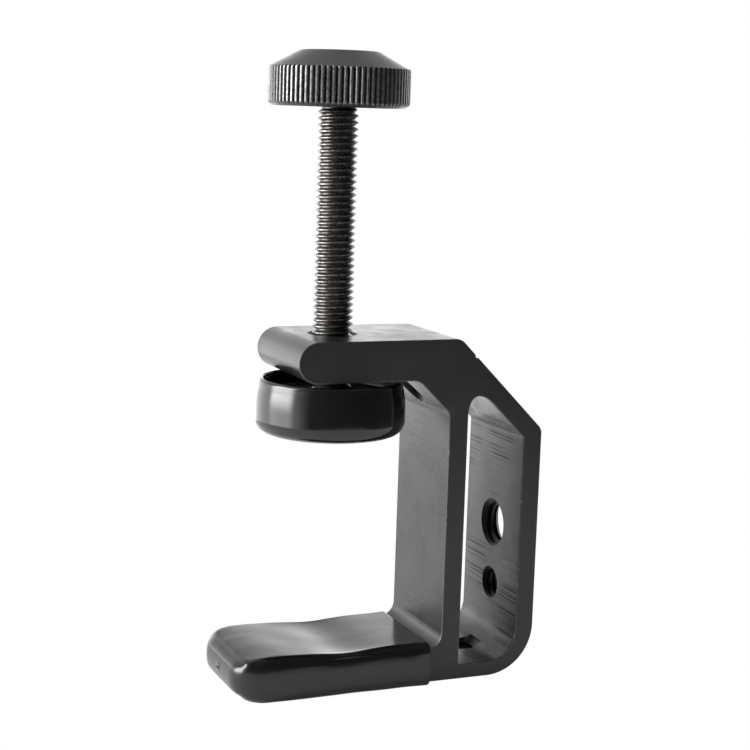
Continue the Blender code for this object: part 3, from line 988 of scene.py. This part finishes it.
        middle = self.web_back + self.channel_depth / 2
        outward = Matrix.Rotation(math.pi / 2, 4, "Y")
        inward = Matrix.Rotation(-math.pi / 2, 4, "Y")
        square = Z_AXIS.rotation_difference(Vector((1, 0, 1))).to_matrix().to_4x4()
        turned_over = Matrix.Rotation(math.pi, 4, "X")
        large, small, margin = self.large_tap_radius, self.small_tap_radius, self.sink_margin
        large_z, small_z = self.low.z + self.large_hole_height, self.low.z + self.small_hole_height
        slope_out = self.slope_point(self.slope_hole_distance, 0)
        slope_in = self.slope_point(self.slope_hole_distance, -self.shoulder)
        plans = (
            ("arm_sink", self.countersink / 2, (0, 0, self.high.z), Matrix.Identity(4)),
            ("arm_under_sink", self.arm_tap_radius + margin, (0, 0, self.arm_under), turned_over),
            ("large_sink_out", large + margin, (self.high.x, 0, large_z), outward),
            ("large_sink_in", large + margin / 2, (self.back_inner, 0, large_z), inward),
            ("small_sink_out", small + margin, (self.high.x, 0, small_z), outward),
            ("small_sink_in", small + margin / 2, (self.back_inner, 0, small_z), inward),
            ("slope_sink_out", small + margin, slope_out, square),
            ("slope_sink_in", small + margin, slope_in, square @ turned_over),
            ("floor_sink_in", small + margin / 2, (middle, 0, self.floor_top), Matrix.Identity(4)),
            ("floor_sink_out", small + margin, (middle, 0, self.low.z), turned_over),
        )
        return [self.tool(name, cone(radius, self.sink_depth), Matrix.Translation(at) @ turn)
                for name, radius, at, turn in plans]

    def groove_tool(self) -> bpy.types.Object:
        """The drill guide that the extrusion carries along its slope.

        Returns:
            The cutting tool.
        """
        bm = bmesh.new()
        width, depth = self.guide_width, self.guide_depth
        ends = ((-width, depth), (0, -depth), (width, depth))
        points = [self.slope_point(self.slope_hole_distance + along, out) for along, out in ends]
        face = bm.faces.new([bm.verts.new((p.x, self.low.y - MM, p.z)) for p in points])
        extrude(bm, [face], Vector((0, self.high.y - self.low.y + 2 * MM, 0)))
        for side in bm.faces:
            side.material_index = Surface.DRAWN.value
        return add_piece("guide_tool", bm, self.finishes())

    def build(self) -> bpy.types.Object:
        """Model and dress the extrusion.

        Returns:
            The extrusion.
        """
        piece = add_piece("frame_extrusion", self.body(), self.finishes())
        cut(piece, [self.groove_tool()])
        cut(piece, self.tap_tools())
        cut(piece, self.sink_tools())
        weigh_normals(piece)
        mounted(piece, Body.FRAME, Slot.ANODISED, "frame")
        return piece


@dataclass
class JawSleeve:
    """The dipped vinyl skin on the lower jaw: softly uneven, with a drip nub on its nose.

    The dent, swell, droop and nose curve are in millimetres, as wave() works in them.
    """

    plan_fillet: float = 6.2 * MM
    edge_round: float = 1.9 * MM
    open_edge_round: float = 0.3 * MM
    barrel: float = 0.62 * MM
    belly: float = -6.8 * MM
    mouth_back: float = 3.0 * MM
    slice_pitch: float = 0.9 * MM
    corner_reach: float = 9.0 * MM
    corner_passes: int = 4
    dent_at: float = 0.5
    dent_spread: float = 5.6
    dent_depth: float = 0.82
    swell_at: float = -13.8
    swell_spread: float = 4.0
    swell_height: float = 0.24
    unevenness: float = 0.035
    droop_reach: float = 6.5
    droop_below: float = 0.9
    droop_above: float = 1.25
    nose_curve: float = 0.85
    nub_height: float = 0.4 * MM
    nub_spread: float = 1.0 * MM
    snug: float = 0.03 * MM
    jaw_width: float = 24.0 * MM
    jaw_nose: float = -21.3 * MM
    jaw_fillet: float = 5.5 * MM
    low: Vector = field(default_factory=lambda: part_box("jaw_sleeve")[0])
    high: Vector = field(default_factory=lambda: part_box("jaw_sleeve")[1])
    metal_low: float = field(default_factory=lambda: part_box("frame")[0].z)
    metal_thickness: float = 6.85 * MM

    def block(self, nose: float, half: float, bottom: float, top: float, end: float,
              fillet: float) -> bmesh.types.BMesh:
        """A block with the jaw's outline, its two nose corners rounded in plan.

        Args:
            nose: x of its nose.
            half: half its width.
            bottom: its lowest level.
            top: its highest level.
            end: x of its open end.
            fillet: the nose corners' radius.

        Returns:
            The block.
        """
        bm = bmesh.new()
        bmesh.ops.create_cube(bm, size=1.0)
        bmesh.ops.scale(bm, vec=(end - nose, 2 * half, top - bottom), verts=bm.verts)
        bmesh.ops.translate(bm, vec=((nose + end) / 2, 0, (bottom + top) / 2), verts=bm.verts)
        upright = [e for e in bm.edges if all(abs(v.co.x - nose) < MERGE_DISTANCE for v in e.verts)
                   and abs(e.verts[0].co.y - e.verts[1].co.y) < MERGE_DISTANCE]
        bmesh.ops.bevel(bm, geom=upright, offset=fillet, segments=10, profile=0.5, affect="EDGES",
                        material=-1)
        return bm

    def skin(self) -> bmesh.types.BMesh:
        """The outer skin as a fine closed solid, with slow waves pressed into it.

        Returns:
            The skin.
        """
        nose = self.low.x + self.nub_height
        bm = self.block(nose, self.high.y, self.low.z, self.high.z, self.high.x, self.plan_fillet)

        def flat(edge: bmesh.types.BMEdge) -> bool:
            """Whether an edge lies in the top's or the bottom's plane."""
            return abs(edge.verts[0].co.z - edge.verts[1].co.z) < MERGE_DISTANCE

        def at_end(edge: bmesh.types.BMEdge) -> bool:
            """Whether an edge lies in the open end's plane."""
            return all(abs(v.co.x - self.high.x) < MERGE_DISTANCE for v in edge.verts)

        rims = [e for e in bm.edges if flat(e) and not at_end(e)]
        bmesh.ops.bevel(bm, geom=rims, offset=self.edge_round, segments=9, profile=0.5, affect="EDGES",
                        material=-1)
        rim = [e for e in bm.edges if at_end(e)]
        bmesh.ops.bevel(bm, geom=rim, offset=self.open_edge_round, segments=3, profile=0.5, affect="EDGES",
                        material=-1)
        self.slice(bm, nose)
        for vert in bm.verts:
            vert.co += self.wave(vert.co, nose)
        corners = [v for v in bm.verts if v.co.x < nose + self.corner_reach
                   and abs(v.co.y) > self.high.y - self.corner_reach]
        for _ in range(self.corner_passes):
            bmesh.ops.smooth_vert(bm, verts=corners, factor=0.5, use_axis_x=True, use_axis_y=True,
                                  use_axis_z=True)
        return bm

    def slice(self, bm: bmesh.types.BMesh, nose: float) -> None:
        """Divide the flat faces finely, more finely round the nub, so that they can wave.

        Args:
            bm: the skin.
            nose: x of its nose.
        """

        def stations(low: float, high: float, fine: tuple[float, float] | None) -> list[float]:
            """Levels of the cuts along one axis.

            Args:
                low: the lower end.
                high: the upper end.
                fine: a stretch that is cut more finely.

            Returns:
                The levels.
            """
            count = round((high - low) / self.slice_pitch)
            found = [low + (high - low) * (i + 0.5) / count for i in range(count)]
            if fine:
                found += [fine[0] + (fine[1] - fine[0]) * i / 10 for i in range(11)]
            return found

        mid = (self.low.z + self.high.z) / 2
        near = 1.7 * MM
        plans = (((1, 0, 0), stations(nose, self.high.x, None)),
                 ((0, 1, 0), stations(self.low.y, self.high.y, (-near, near))),
                 ((0, 0, 1), stations(self.low.z, self.high.z, (mid - near, mid + near))))
        for normal, levels in plans:
            for level in levels:
                bmesh.ops.bisect_plane(bm, geom=bm.verts[:] + bm.edges[:] + bm.faces[:], dist=CUT_TOLERANCE,
                                       plane_co=Vector(normal) * level, plane_no=normal)

    def wave(self, at: Vector, nose: float) -> Vector:
        """How far the dip's flow moves a point of the skin.

        Args:
            at: the point.
            nose: x of the skin's nose.

        Returns:
            The move.
        """
        x, y, z = at / MM
        half = self.high.y / MM
        across = min(1.0, abs(y) / half)
        top = max(0.0, min(1.0, (z + 4.0) / 3.6)) ** 2
        loose = 1.0 - 0.58 * across**4
        pressed = -self.dent_depth * math.exp(-(((x - self.dent_at) / self.dent_spread) ** 2))
        swell = self.swell_height * math.exp(-(((x - self.swell_at) / self.swell_spread) ** 2))
        lift = top * loose * (pressed + swell - 0.04 + self.unevenness * ripple(at, 6 * MM, 3.1))
        mid = (self.low.z + self.high.z) / 2
        tall = (at.z - mid) / (self.high.z - mid)
        tip = max(0.0, 1.0 - (at.x - nose) / (self.droop_reach * MM)) ** 2
        droop = tip * (self.droop_below * max(0.0, -tall) ** 1.5 - self.droop_above * max(0.0, tall) ** 1.5)
        above = max(0.0, (at.z - self.belly) / (5.65 * MM))
        lean = self.barrel / MM * above**2
        flat_side = min(1.0, max(0.0, (abs(y) - half + 2.6) / 1.6))
        sunk = 0.10 * (0.5 + ripple(at, 5 * MM, 8.7)) * (1 - above)
        side = -flat_side * (lean + max(0.0, sunk))
        under = 0.08 * (0.6 + ripple(at, 7 * MM, 5.3)) * max(0.0, min(1.0, (-z - 6.5) / 2.0))
        spread = ((at.y / self.nub_spread) ** 2 + ((at.z - mid) / self.nub_spread) ** 2)
        front = max(0.0, 1.0 - (at.x - nose) / (2.6 * MM))
        nub = self.nub_height * math.exp(-spread * 2.2) * max(0.0, 1.0 - (at.x - nose) / (0.4 * MM))
        nose_lean = min(1.0, front * 1.6) * self.nose_curve * tall**2
        end = min(1.0, max(0.0, (self.high.x - at.x) / self.mouth_back))
        ease = 0.35 + 0.65 * end
        return Vector((nose_lean * MM - nub, math.copysign(1, y) * side * MM * ease,
                       (lift + under + droop) * MM * end))

    def build(self) -> bpy.types.Object:
        """Model and dress the sleeve.

        Returns:
            The sleeve.
        """
        finish = VinylDip("vinyl_dip_jaw", (0.0062, 0.0072, 0.0078), 0.0, 0.14, ior=1.5).build()
        piece = add_piece("jaw_dip_coat", self.skin(), [finish], sharp=50.0)
        metal_top = self.metal_low + self.metal_thickness
        core = self.block(self.jaw_nose - self.snug, self.jaw_width / 2 + self.snug,
                          self.metal_low - self.snug, metal_top + self.snug, self.high.x + 4 * MM,
                          self.jaw_fillet)
        taper_nose(core, self.jaw_nose - self.snug, self.metal_low + self.metal_thickness / 2)
        cut(piece, [add_piece("jaw_core", core, [finish])], sharp=50.0)
        mounted(piece, Body.FRAME, Slot.VINYL, "jaw_sleeve")
        return piece


@dataclass
class ClampScrew:
    """The threaded rod, with its swivel pin and peened end below and its shank in the knob."""

    crest_radius: float = 4.0 * MM
    root_radius: float = 3.25 * MM
    pitch: float = 1.25 * MM
    pin_radius: float = 2.5 * MM
    peen_radius: float = 3.3 * MM
    peen_height: float = 1.0 * MM
    shank_radius: float = 3.2 * MM
    shoulder_gap: float = 0.3 * MM
    recess_depth: float = 3.2 * MM
    low: Vector = field(default_factory=lambda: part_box("clamp_screw")[0])
    high: Vector = field(default_factory=lambda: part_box("clamp_screw")[1])
    knob_bottom: float = field(default_factory=lambda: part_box("knob")[0].z)
    pad_top: float = field(default_factory=lambda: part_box("pad_sleeve")[1].z)

    def build(self) -> bpy.types.Object:
        """Model and dress the screw.

        Returns:
            The screw.
        """
        # Paler thread crests: partly rub, partly a painted highlight.
        finish = TurnedMetal("black_oxide_thread", (0.085, 0.081, 0.077), 0.8, 0.30,
                             crest_radius=self.crest_radius, crest_depth=0.3 * MM, crest_rub_and_highlight_tone=3.6,
                             ring_pitch=0.09 * MM, ring_depth=1.5e-6).build()
        shoulder = self.pad_top - self.recess_depth + self.shoulder_gap
        thread = ThreadForm(self.crest_radius, self.root_radius, self.pitch)
        rod = thread.rod(shoulder, self.knob_bottom)
        thread.taper(rod, shoulder, 1, self.root_radius)
        thread.taper(rod, self.knob_bottom, -1, self.root_radius)
        piece = add_piece("screw_threaded_rod", rod, [finish], sharp=28.0)
        inside = self.pitch / 2
        peen_top = self.low.z + self.peen_height
        pin = turned([
            (0, shoulder + inside), (self.pin_radius, shoulder + inside), (self.pin_radius, peen_top),
            (self.peen_radius, peen_top),
            *arc((self.peen_radius - 0.7 * MM, self.low.z + 0.7 * MM), 0.7 * MM, 0, -90, 6),
            (0, self.low.z),
        ], 40)
        shank = turned([
            (0, self.knob_bottom - inside), (self.shank_radius, self.knob_bottom - inside),
            (self.shank_radius, self.high.z - 0.4 * MM), (self.shank_radius - 0.4 * MM, self.high.z),
            (0, self.high.z),
        ], 40)
        tools = [add_piece("pin_tool", pin, [finish]), add_piece("shank_tool", shank, [finish])]
        cut(piece, tools, "UNION", sharp=28.0)
        mounted(piece, Body.SCREW, Slot.OXIDE, "clamp_screw")
        return piece


@dataclass
class Knob:
    """The knurled knob: a straight-knurled band under a shallow cone, with a chamfer below."""

    knurls: int = 79
    steps_per_knurl: int = 6
    knurl_depth: float = 0.42 * MM
    band_height: float = 7.8 * MM
    flat_radius: float = 7.45 * MM
    chamfer: float = 0.8 * MM
    bore_radius: float = 3.5 * MM
    bore_depth: float = 7.0 * MM
    lip: float = 0.25 * MM
    low: Vector = field(default_factory=lambda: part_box("knob")[0])
    high: Vector = field(default_factory=lambda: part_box("knob")[1])

    def rings(self) -> list[tuple[float, float, float]]:
        """Levels of the outside, as (greatest radius, z, knurl depth).

        Returns:
            The levels, from the bottom up.
        """
        outer, bottom = self.high.x, self.low.z
        band_top = bottom + self.band_height - 0.25 * MM
        depth = self.knurl_depth
        return [
            (outer - self.chamfer - 0.15 * MM, bottom, 0.0),
            (outer - self.chamfer, bottom + 0.06 * MM, 0.0),
            (outer - depth, bottom + self.chamfer - depth + 0.06 * MM, depth * 0.02),
            (outer - 0.05 * MM, bottom + self.chamfer, depth * 0.92),
            (outer, bottom + self.chamfer + 0.12 * MM, depth),
            (outer, band_top - 0.42 * MM, depth),
            (outer - 0.12 * MM, band_top - 0.16 * MM, depth * 0.8),
            (outer - depth, band_top, depth * 0.02),
            (outer - depth - 0.2 * MM, band_top + 0.07 * MM, 0.0),
            (self.flat_radius + 0.25 * MM, self.high.z - 0.10 * MM, 0.0),
            (self.flat_radius + 0.08 * MM, self.high.z - 0.03 * MM, 0.0),
            (self.flat_radius - 0.15 * MM, self.high.z, 0.0),
        ]

    def reach(self, step: int, radius: float, depth: float) -> float:
        """A point's radius round the band: flat-topped tips between V grooves.

        Args:
            step: the point's number round the band.
            radius: the knurls' greatest radius at this level.
            depth: the grooves' depth at this level.

        Returns:
            The radius at this step.
        """
        share = (step % self.steps_per_knurl) / self.steps_per_knurl
        valley = max(0.0, 1 - abs(share - 0.5) / 0.36)
        return radius - depth * valley

    def body(self) -> bmesh.types.BMesh:
        """The knob's outside, drawn up ring by ring from a circle, and closed.

        Returns:
            The solid.
        """
        count = self.knurls * self.steps_per_knurl
        bm = bmesh.new()
        start = bmesh.ops.create_circle(bm, segments=count, radius=1.0, cap_ends=False)["verts"]
        ring = sorted(start, key=lambda v: math.atan2(v.co.y, v.co.x))
        bearings = [math.atan2(v.co.y, v.co.x) for v in ring]
        edges = bm.edges[:]
        for index, (radius, level, depth) in enumerate(self.rings()):
            if index:
                made = bmesh.ops.extrude_edge_only(bm, edges=edges)["geom"]
                edges = [g for g in made if isinstance(g, bmesh.types.BMEdge)]
                fresh = [g for g in made if isinstance(g, bmesh.types.BMVert)]
                ring = sorted(fresh, key=lambda v: math.atan2(v.co.y, v.co.x))
            for step, vert in enumerate(ring):
                out = self.reach(step, radius, depth)
                vert.co = (out * math.cos(bearings[step]), out * math.sin(bearings[step]), level)
        bmesh.ops.holes_fill(bm, edges=bm.edges, sides=0)
        return bm

    def build(self) -> bpy.types.Object:
        """Model and dress the knob.

        Returns:
            The knob.
        """
        # Paler knurl tips: mostly a painted highlight, with a little rub.
        finish = TurnedMetal("knob_black_anodised", (0.034, 0.034, 0.0348), 0.65, 0.31, ior=1.5,
                             crest_radius=self.high.x, crest_depth=0.34 * MM, crest_rub_and_highlight_tone=6.0,
                             fleck_floor=0.55, ring_pitch=0.16 * MM, ring_depth=1.2e-6).build()
        piece = add_piece("knob_knurled", self.body(), [finish], sharp=24.0)
        mouth = self.bore_radius + 0.5 * MM
        bore = turned([
            (0, self.low.z - MM), (mouth + MM, self.low.z - MM), (self.bore_radius, self.low.z + 0.5 * MM),
            (self.bore_radius, self.low.z + self.bore_depth), (0, self.low.z + self.bore_depth + 1.2 * MM),
        ], 64)
        cut(piece, [add_piece("bore_tool", bore, [finish])], sharp=24.0)
        weigh_normals(piece)
        mounted(piece, Body.SCREW, Slot.KNOB, "knob")
        return piece


@dataclass
class SwivelPad:
    """The pad under the screw: a turned metal cup in a dipped vinyl coat, held by a washer."""

    rim_width: float = 1.6 * MM
    recess_depth: float = 3.2 * MM
    lip: float = 0.7 * MM
    side: float = 0.7 * MM
    edge_round: float = 3.0 * MM
    barrel: float = 0.5 * MM
    snug: float = 0.04 * MM
    pin_hole: float = 2.8 * MM
    pocket: float = 5.3 * MM
    segments: int = 128
    low: Vector = field(default_factory=lambda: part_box("pad_sleeve")[0])
    high: Vector = field(default_factory=lambda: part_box("pad_sleeve")[1])
    cup_low: float = field(default_factory=lambda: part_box("pad_disc")[0].z)
    washer_low: Vector = field(default_factory=lambda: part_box("retaining_washer")[0])
    washer_high: Vector = field(default_factory=lambda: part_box("retaining_washer")[1])
    washer_bore: float = 2.65 * MM

    def __post_init__(self) -> None:
        """Work out the radii that follow from the coat's box."""
        self.outer = self.high.x
        self.rim = self.outer - self.rim_width
        self.inner = self.outer - self.side
        self.recess_floor = self.high.z - self.recess_depth
        self.floor = self.cup_low - self.snug

    def build_cup(self) -> bpy.types.Object:
        """The metal cup, with softened edges and a small fillet round its recess.

        Returns:
            The cup.
        """
        finish = TurnedMetal("pad_cup_satin_black", (0.019, 0.019, 0.020), 0.55, 0.34, ior=1.6,
                             ring_pitch=0.22 * MM, ring_depth=1.4e-6).build()
        radius = self.inner - self.snug
        edge = self.edge_round - self.side
        top = self.high.z - self.lip - self.snug
        pocket_top = self.washer_high.z + 0.3 * MM
        corners = [
            (self.pin_hole, pocket_top), (self.pocket, pocket_top), (self.pocket, self.cup_low),
            (radius - edge, self.cup_low), (radius, self.cup_low + edge), (radius, top),
            (self.rim, top), (self.rim, self.recess_floor), (self.pin_hole, self.recess_floor),
        ]
        soft = (0.15, 0.3, 0.2, 1.3, 1.3, 0.1, 0.1, 0.6, 0.25)
        profile = softened(corners, [s * MM for s in soft], steps=5)
        piece = add_piece("pad_cup", turned(profile, self.segments), [finish])
        weigh_normals(piece)
        mounted(piece, Body.PAD, Slot.ANODISED, "pad_disc")
        return piece

    def coat_profile(self) -> list[tuple[float, float]]:
        """The coat's section: a barrel side, a rolled lip over the rim and a flat underside.

        Returns:
            The (radius, z) points.
        """
        outer, base, top = self.outer, self.low.z, self.high.z
        brow = outer - self.barrel - self.lip - 0.15 * MM
        bulge = base + self.edge_round + 1.6 * MM
        tuck = top - self.lip
        side = []
        for step in range(1, 13):
            share = step / 13
            level = bulge + (tuck - 0.5 * MM - bulge) * share
            side.append((outer - (self.barrel + 0.15 * MM) * share**2.2, level))
        bottom = arc((outer - self.edge_round, base + self.edge_round), self.edge_round, -90, 0, 14)
        roll = arc((brow, tuck), self.lip, 12, 90, 7)
        lip_in = arc((self.rim + 0.3 * MM, top - 0.3 * MM), 0.3 * MM, 90, 180, 5)
        edge = self.edge_round - self.side
        hollow = arc((self.inner - edge, self.floor + edge), edge, 0, -90, 8)
        flat = outer - self.edge_round
        spokes = [(flat - step * flat / 10, base) for step in range(9, 0, -1)]
        return [(0, base), *spokes, *bottom, *side, *roll, *lip_in, (self.rim, tuck), (self.inner, tuck),
                *hollow, (0, self.floor)]

    def build_coat(self) -> bpy.types.Object:
        """The dipped coat, with a slightly uneven side and a ragged inner lip.

        Returns:
            The coat.
        """
        finish = VinylDip("vinyl_dip_pad", (0.0058, 0.0060, 0.0068), 0.0, 0.075, ior=1.52).build()
        bm = turned(self.coat_profile(), self.segments)
        for vert in bm.verts:
            radius = math.hypot(vert.co.x, vert.co.y)
            if radius < 1.0 * MM or vert.co.z > self.high.z + MERGE_DISTANCE:
                continue
            uneven = 0.0
            if radius > self.inner + 0.1 * MM and vert.co.z < self.high.z - self.lip:
                uneven = -0.05 * MM * (1 + ripple(vert.co, 7 * MM, 2.2))
            if radius < self.rim + 0.35 * MM and vert.co.z > self.high.z - self.lip - MERGE_DISTANCE:
                uneven = -0.10 * MM * max(0.0, ripple(vert.co, 1.6 * MM, 9.4) + 0.3)
            scale = (radius + uneven) / radius
            vert.co.x *= scale
            vert.co.y *= scale
        piece = add_piece("pad_dip_coat", bm, [finish], sharp=60.0)
        mounted(piece, Body.PAD, Slot.VINYL, "pad_sleeve")
        return piece

    def build_washer(self) -> bpy.types.Object:
        """The washer that the peened pin end bears on, with its edges broken.

        Returns:
            The washer.
        """
        finish = TurnedMetal("washer_black_oxide", (0.03, 0.029, 0.027), 0.8, 0.34).build()
        rim = self.washer_high.x
        corners = [(self.washer_bore, self.washer_low.z), (rim, self.washer_low.z), (rim, self.washer_high.z),
                   (self.washer_bore, self.washer_high.z)]
        profile = softened(corners, [0.12 * MM] * 4, steps=3)
        piece = add_piece("pad_retaining_washer", turned(profile, 64), [finish])
        mounted(piece, Body.SWIVEL, Slot.OXIDE, "retaining_washer")
        return piece


# ---------------------------------------------------------------------------------------------------
# Studio


@dataclass
class Studio:
    """A pale floor, soft light and the camera."""

    yaw: float = 23.35
    pitch: float = 8.93
    roll: float = 1.87
    distance: float = 0.3345
    lens: float = 81.0
    sideways: float = 0.05 * MM
    forward: float = -0.28 * MM
    aim_drop: float = 0.73 * MM
    floor_radius: float = 0.235
    front_glow: float = 0.09
    back_glow: float = 2.4
    floor_glow: float = 0.18
    sky_glow: float = 0.8
    window: tuple[float, float, float] = (-0.97, 0.24, 0.0)
    window_glow: float = 12.5

    def aim(self) -> Vector:
        """The point on the optical axis nearest to the object's middle.

        Returns:
            The point.
        """
        low, high = CAD_BOX
        middle = (low + high) / 2
        return middle + Vector((self.sideways, self.forward, -self.aim_drop))

    def camera(self) -> None:
        """Place the camera, a little above the clamp and to its left, looking across its near cut face."""
        yaw, pitch, roll = (math.radians(a) for a in (self.yaw, self.pitch, self.roll))
        ahead = Vector((math.sin(yaw) * math.cos(pitch), math.cos(yaw) * math.cos(pitch), -math.sin(pitch)))
        right = Vector((math.cos(yaw), -math.sin(yaw), 0))
        up = right.cross(ahead)
        across = right * math.cos(roll) + up * math.sin(roll)
        above = up * math.cos(roll) - right * math.sin(roll)
        turn = Matrix((across, above, -ahead)).transposed().to_4x4()
        data = bpy.data.cameras.new("studio_camera")
        data.lens = self.lens
        data.clip_start, data.clip_end = 0.01, 10
        camera = bpy.data.objects.new("studio_camera", data)
        camera.matrix_world = Matrix.Translation(self.aim() - ahead * self.distance) @ turn
        bpy.context.scene.collection.objects.link(camera)
        bpy.context.scene.camera = camera

    def floor(self) -> None:
        """A round pale sheet under the clamp."""
        bm = bmesh.new()
        bmesh.ops.create_circle(bm, cap_ends=True, segments=96, radius=self.floor_radius)
        bmesh.ops.translate(bm, vec=(0.01, 0, CAD_BOX[0].z - 0.02 * MM), verts=bm.verts)
        paper = bpy.data.materials.new("pale_paper")
        paper.use_nodes = True
        shader = paper.node_tree.nodes["Principled BSDF"]
        shader.inputs["Base Color"].default_value = (0.85, 0.85, 0.85, 1.0)
        shader.inputs["Roughness"].default_value = 0.8
        shader.inputs["Emission Color"].default_value = (1.0, 1.0, 1.0, 1.0)
        shader.inputs["Emission Strength"].default_value = self.floor_glow
        g = Graph(paper.node_tree)
        seen = g.add("LightPath").outputs["Is Camera Ray"]
        white = g.add("Emission", {"Color": (1.0, 1.0, 1.0, 1.0), "Strength": 1.0}).outputs[0]
        shown = g.add("MixShader", {0: seen, 1: shader.outputs[0], 2: white}).outputs[0]
        paper.node_tree.links.new(shown, paper.node_tree.nodes["Material Output"].inputs["Surface"])
        add_piece("studio_floor", bm, [paper])

    def surround(self) -> None:
        """Light the world brightly behind and beside the clamp and dimly in front, with a white backdrop."""
        world = bpy.data.worlds.new("studio_surround")
        world.use_nodes = True
        bpy.context.scene.world = world
        g = Graph(world.node_tree)
        background = world.node_tree.nodes["Background"]
        direction = g.add("TexCoord").outputs["Generated"]
        front = g.add("VectorMath", {0: direction, 1: Vector((0.30, -0.95, 0.05)).normalized()},
                      operation="DOT_PRODUCT").outputs["Value"]
        around = g.remap(front, -0.25, 0.42, self.back_glow, self.front_glow)
        height = g.add("SeparateXYZ", {0: direction}).outputs[2]
        overhead = g.remap(height, 0.03, 0.50, 0.0, 1.0)
        keep = g.math("SUBTRACT", 1.0, overhead)
        above = g.math("MULTIPLY", overhead, g.remap(front, -0.15, 0.35, self.sky_glow, self.front_glow))
        glow = g.math("MULTIPLY_ADD", around, keep, above)
        beside = g.add("VectorMath", {0: direction, 1: Vector(self.window).normalized()},
                       operation="DOT_PRODUCT").outputs["Value"]
        level = g.math("SQRT", g.math("MULTIPLY_ADD", height, g.math("MULTIPLY", height, -1.0), 1.0))
        wide = g.remap(g.math("DIVIDE", beside, level), 0.89, 0.975, 0.0, 1.0)
        tall = g.math("MULTIPLY", g.remap(height, -0.17, 0.17, 0.20, 1.0),
                      g.remap(height, 0.60, 0.72, 1.0, 0.0))
        pane = g.math("MULTIPLY", g.math("MULTIPLY", wide, tall), self.window_glow)
        seen = g.add("LightPath").outputs["Is Camera Ray"]
        lit = g.math("ADD", glow, pane)
        strength = g.math("MULTIPLY_ADD", g.math("SUBTRACT", 1.0, seen), lit, seen)
        g.tree.links.new(strength, background.inputs["Strength"])
        background.inputs["Color"].default_value = (1.0, 1.0, 1.0, 1.0)

    def build(self) -> None:
        """Set up the whole studio."""
        bpy.context.scene.view_settings.view_transform = "Standard"
        self.camera()
        self.floor()
        self.surround()


def main() -> None:
    """Build the studio and every sub-assembly in order."""
    logging.basicConfig(level=logging.INFO, format="%(name)s: %(message)s")
    Studio().build()
    FrameExtrusion().build()
    JawSleeve().build()
    ClampScrew().build()
    Knob().build()
    pad = SwivelPad()
    pad.build_cup()
    pad.build_coat()
    pad.build_washer()


if __name__ == "__main__":
    main()
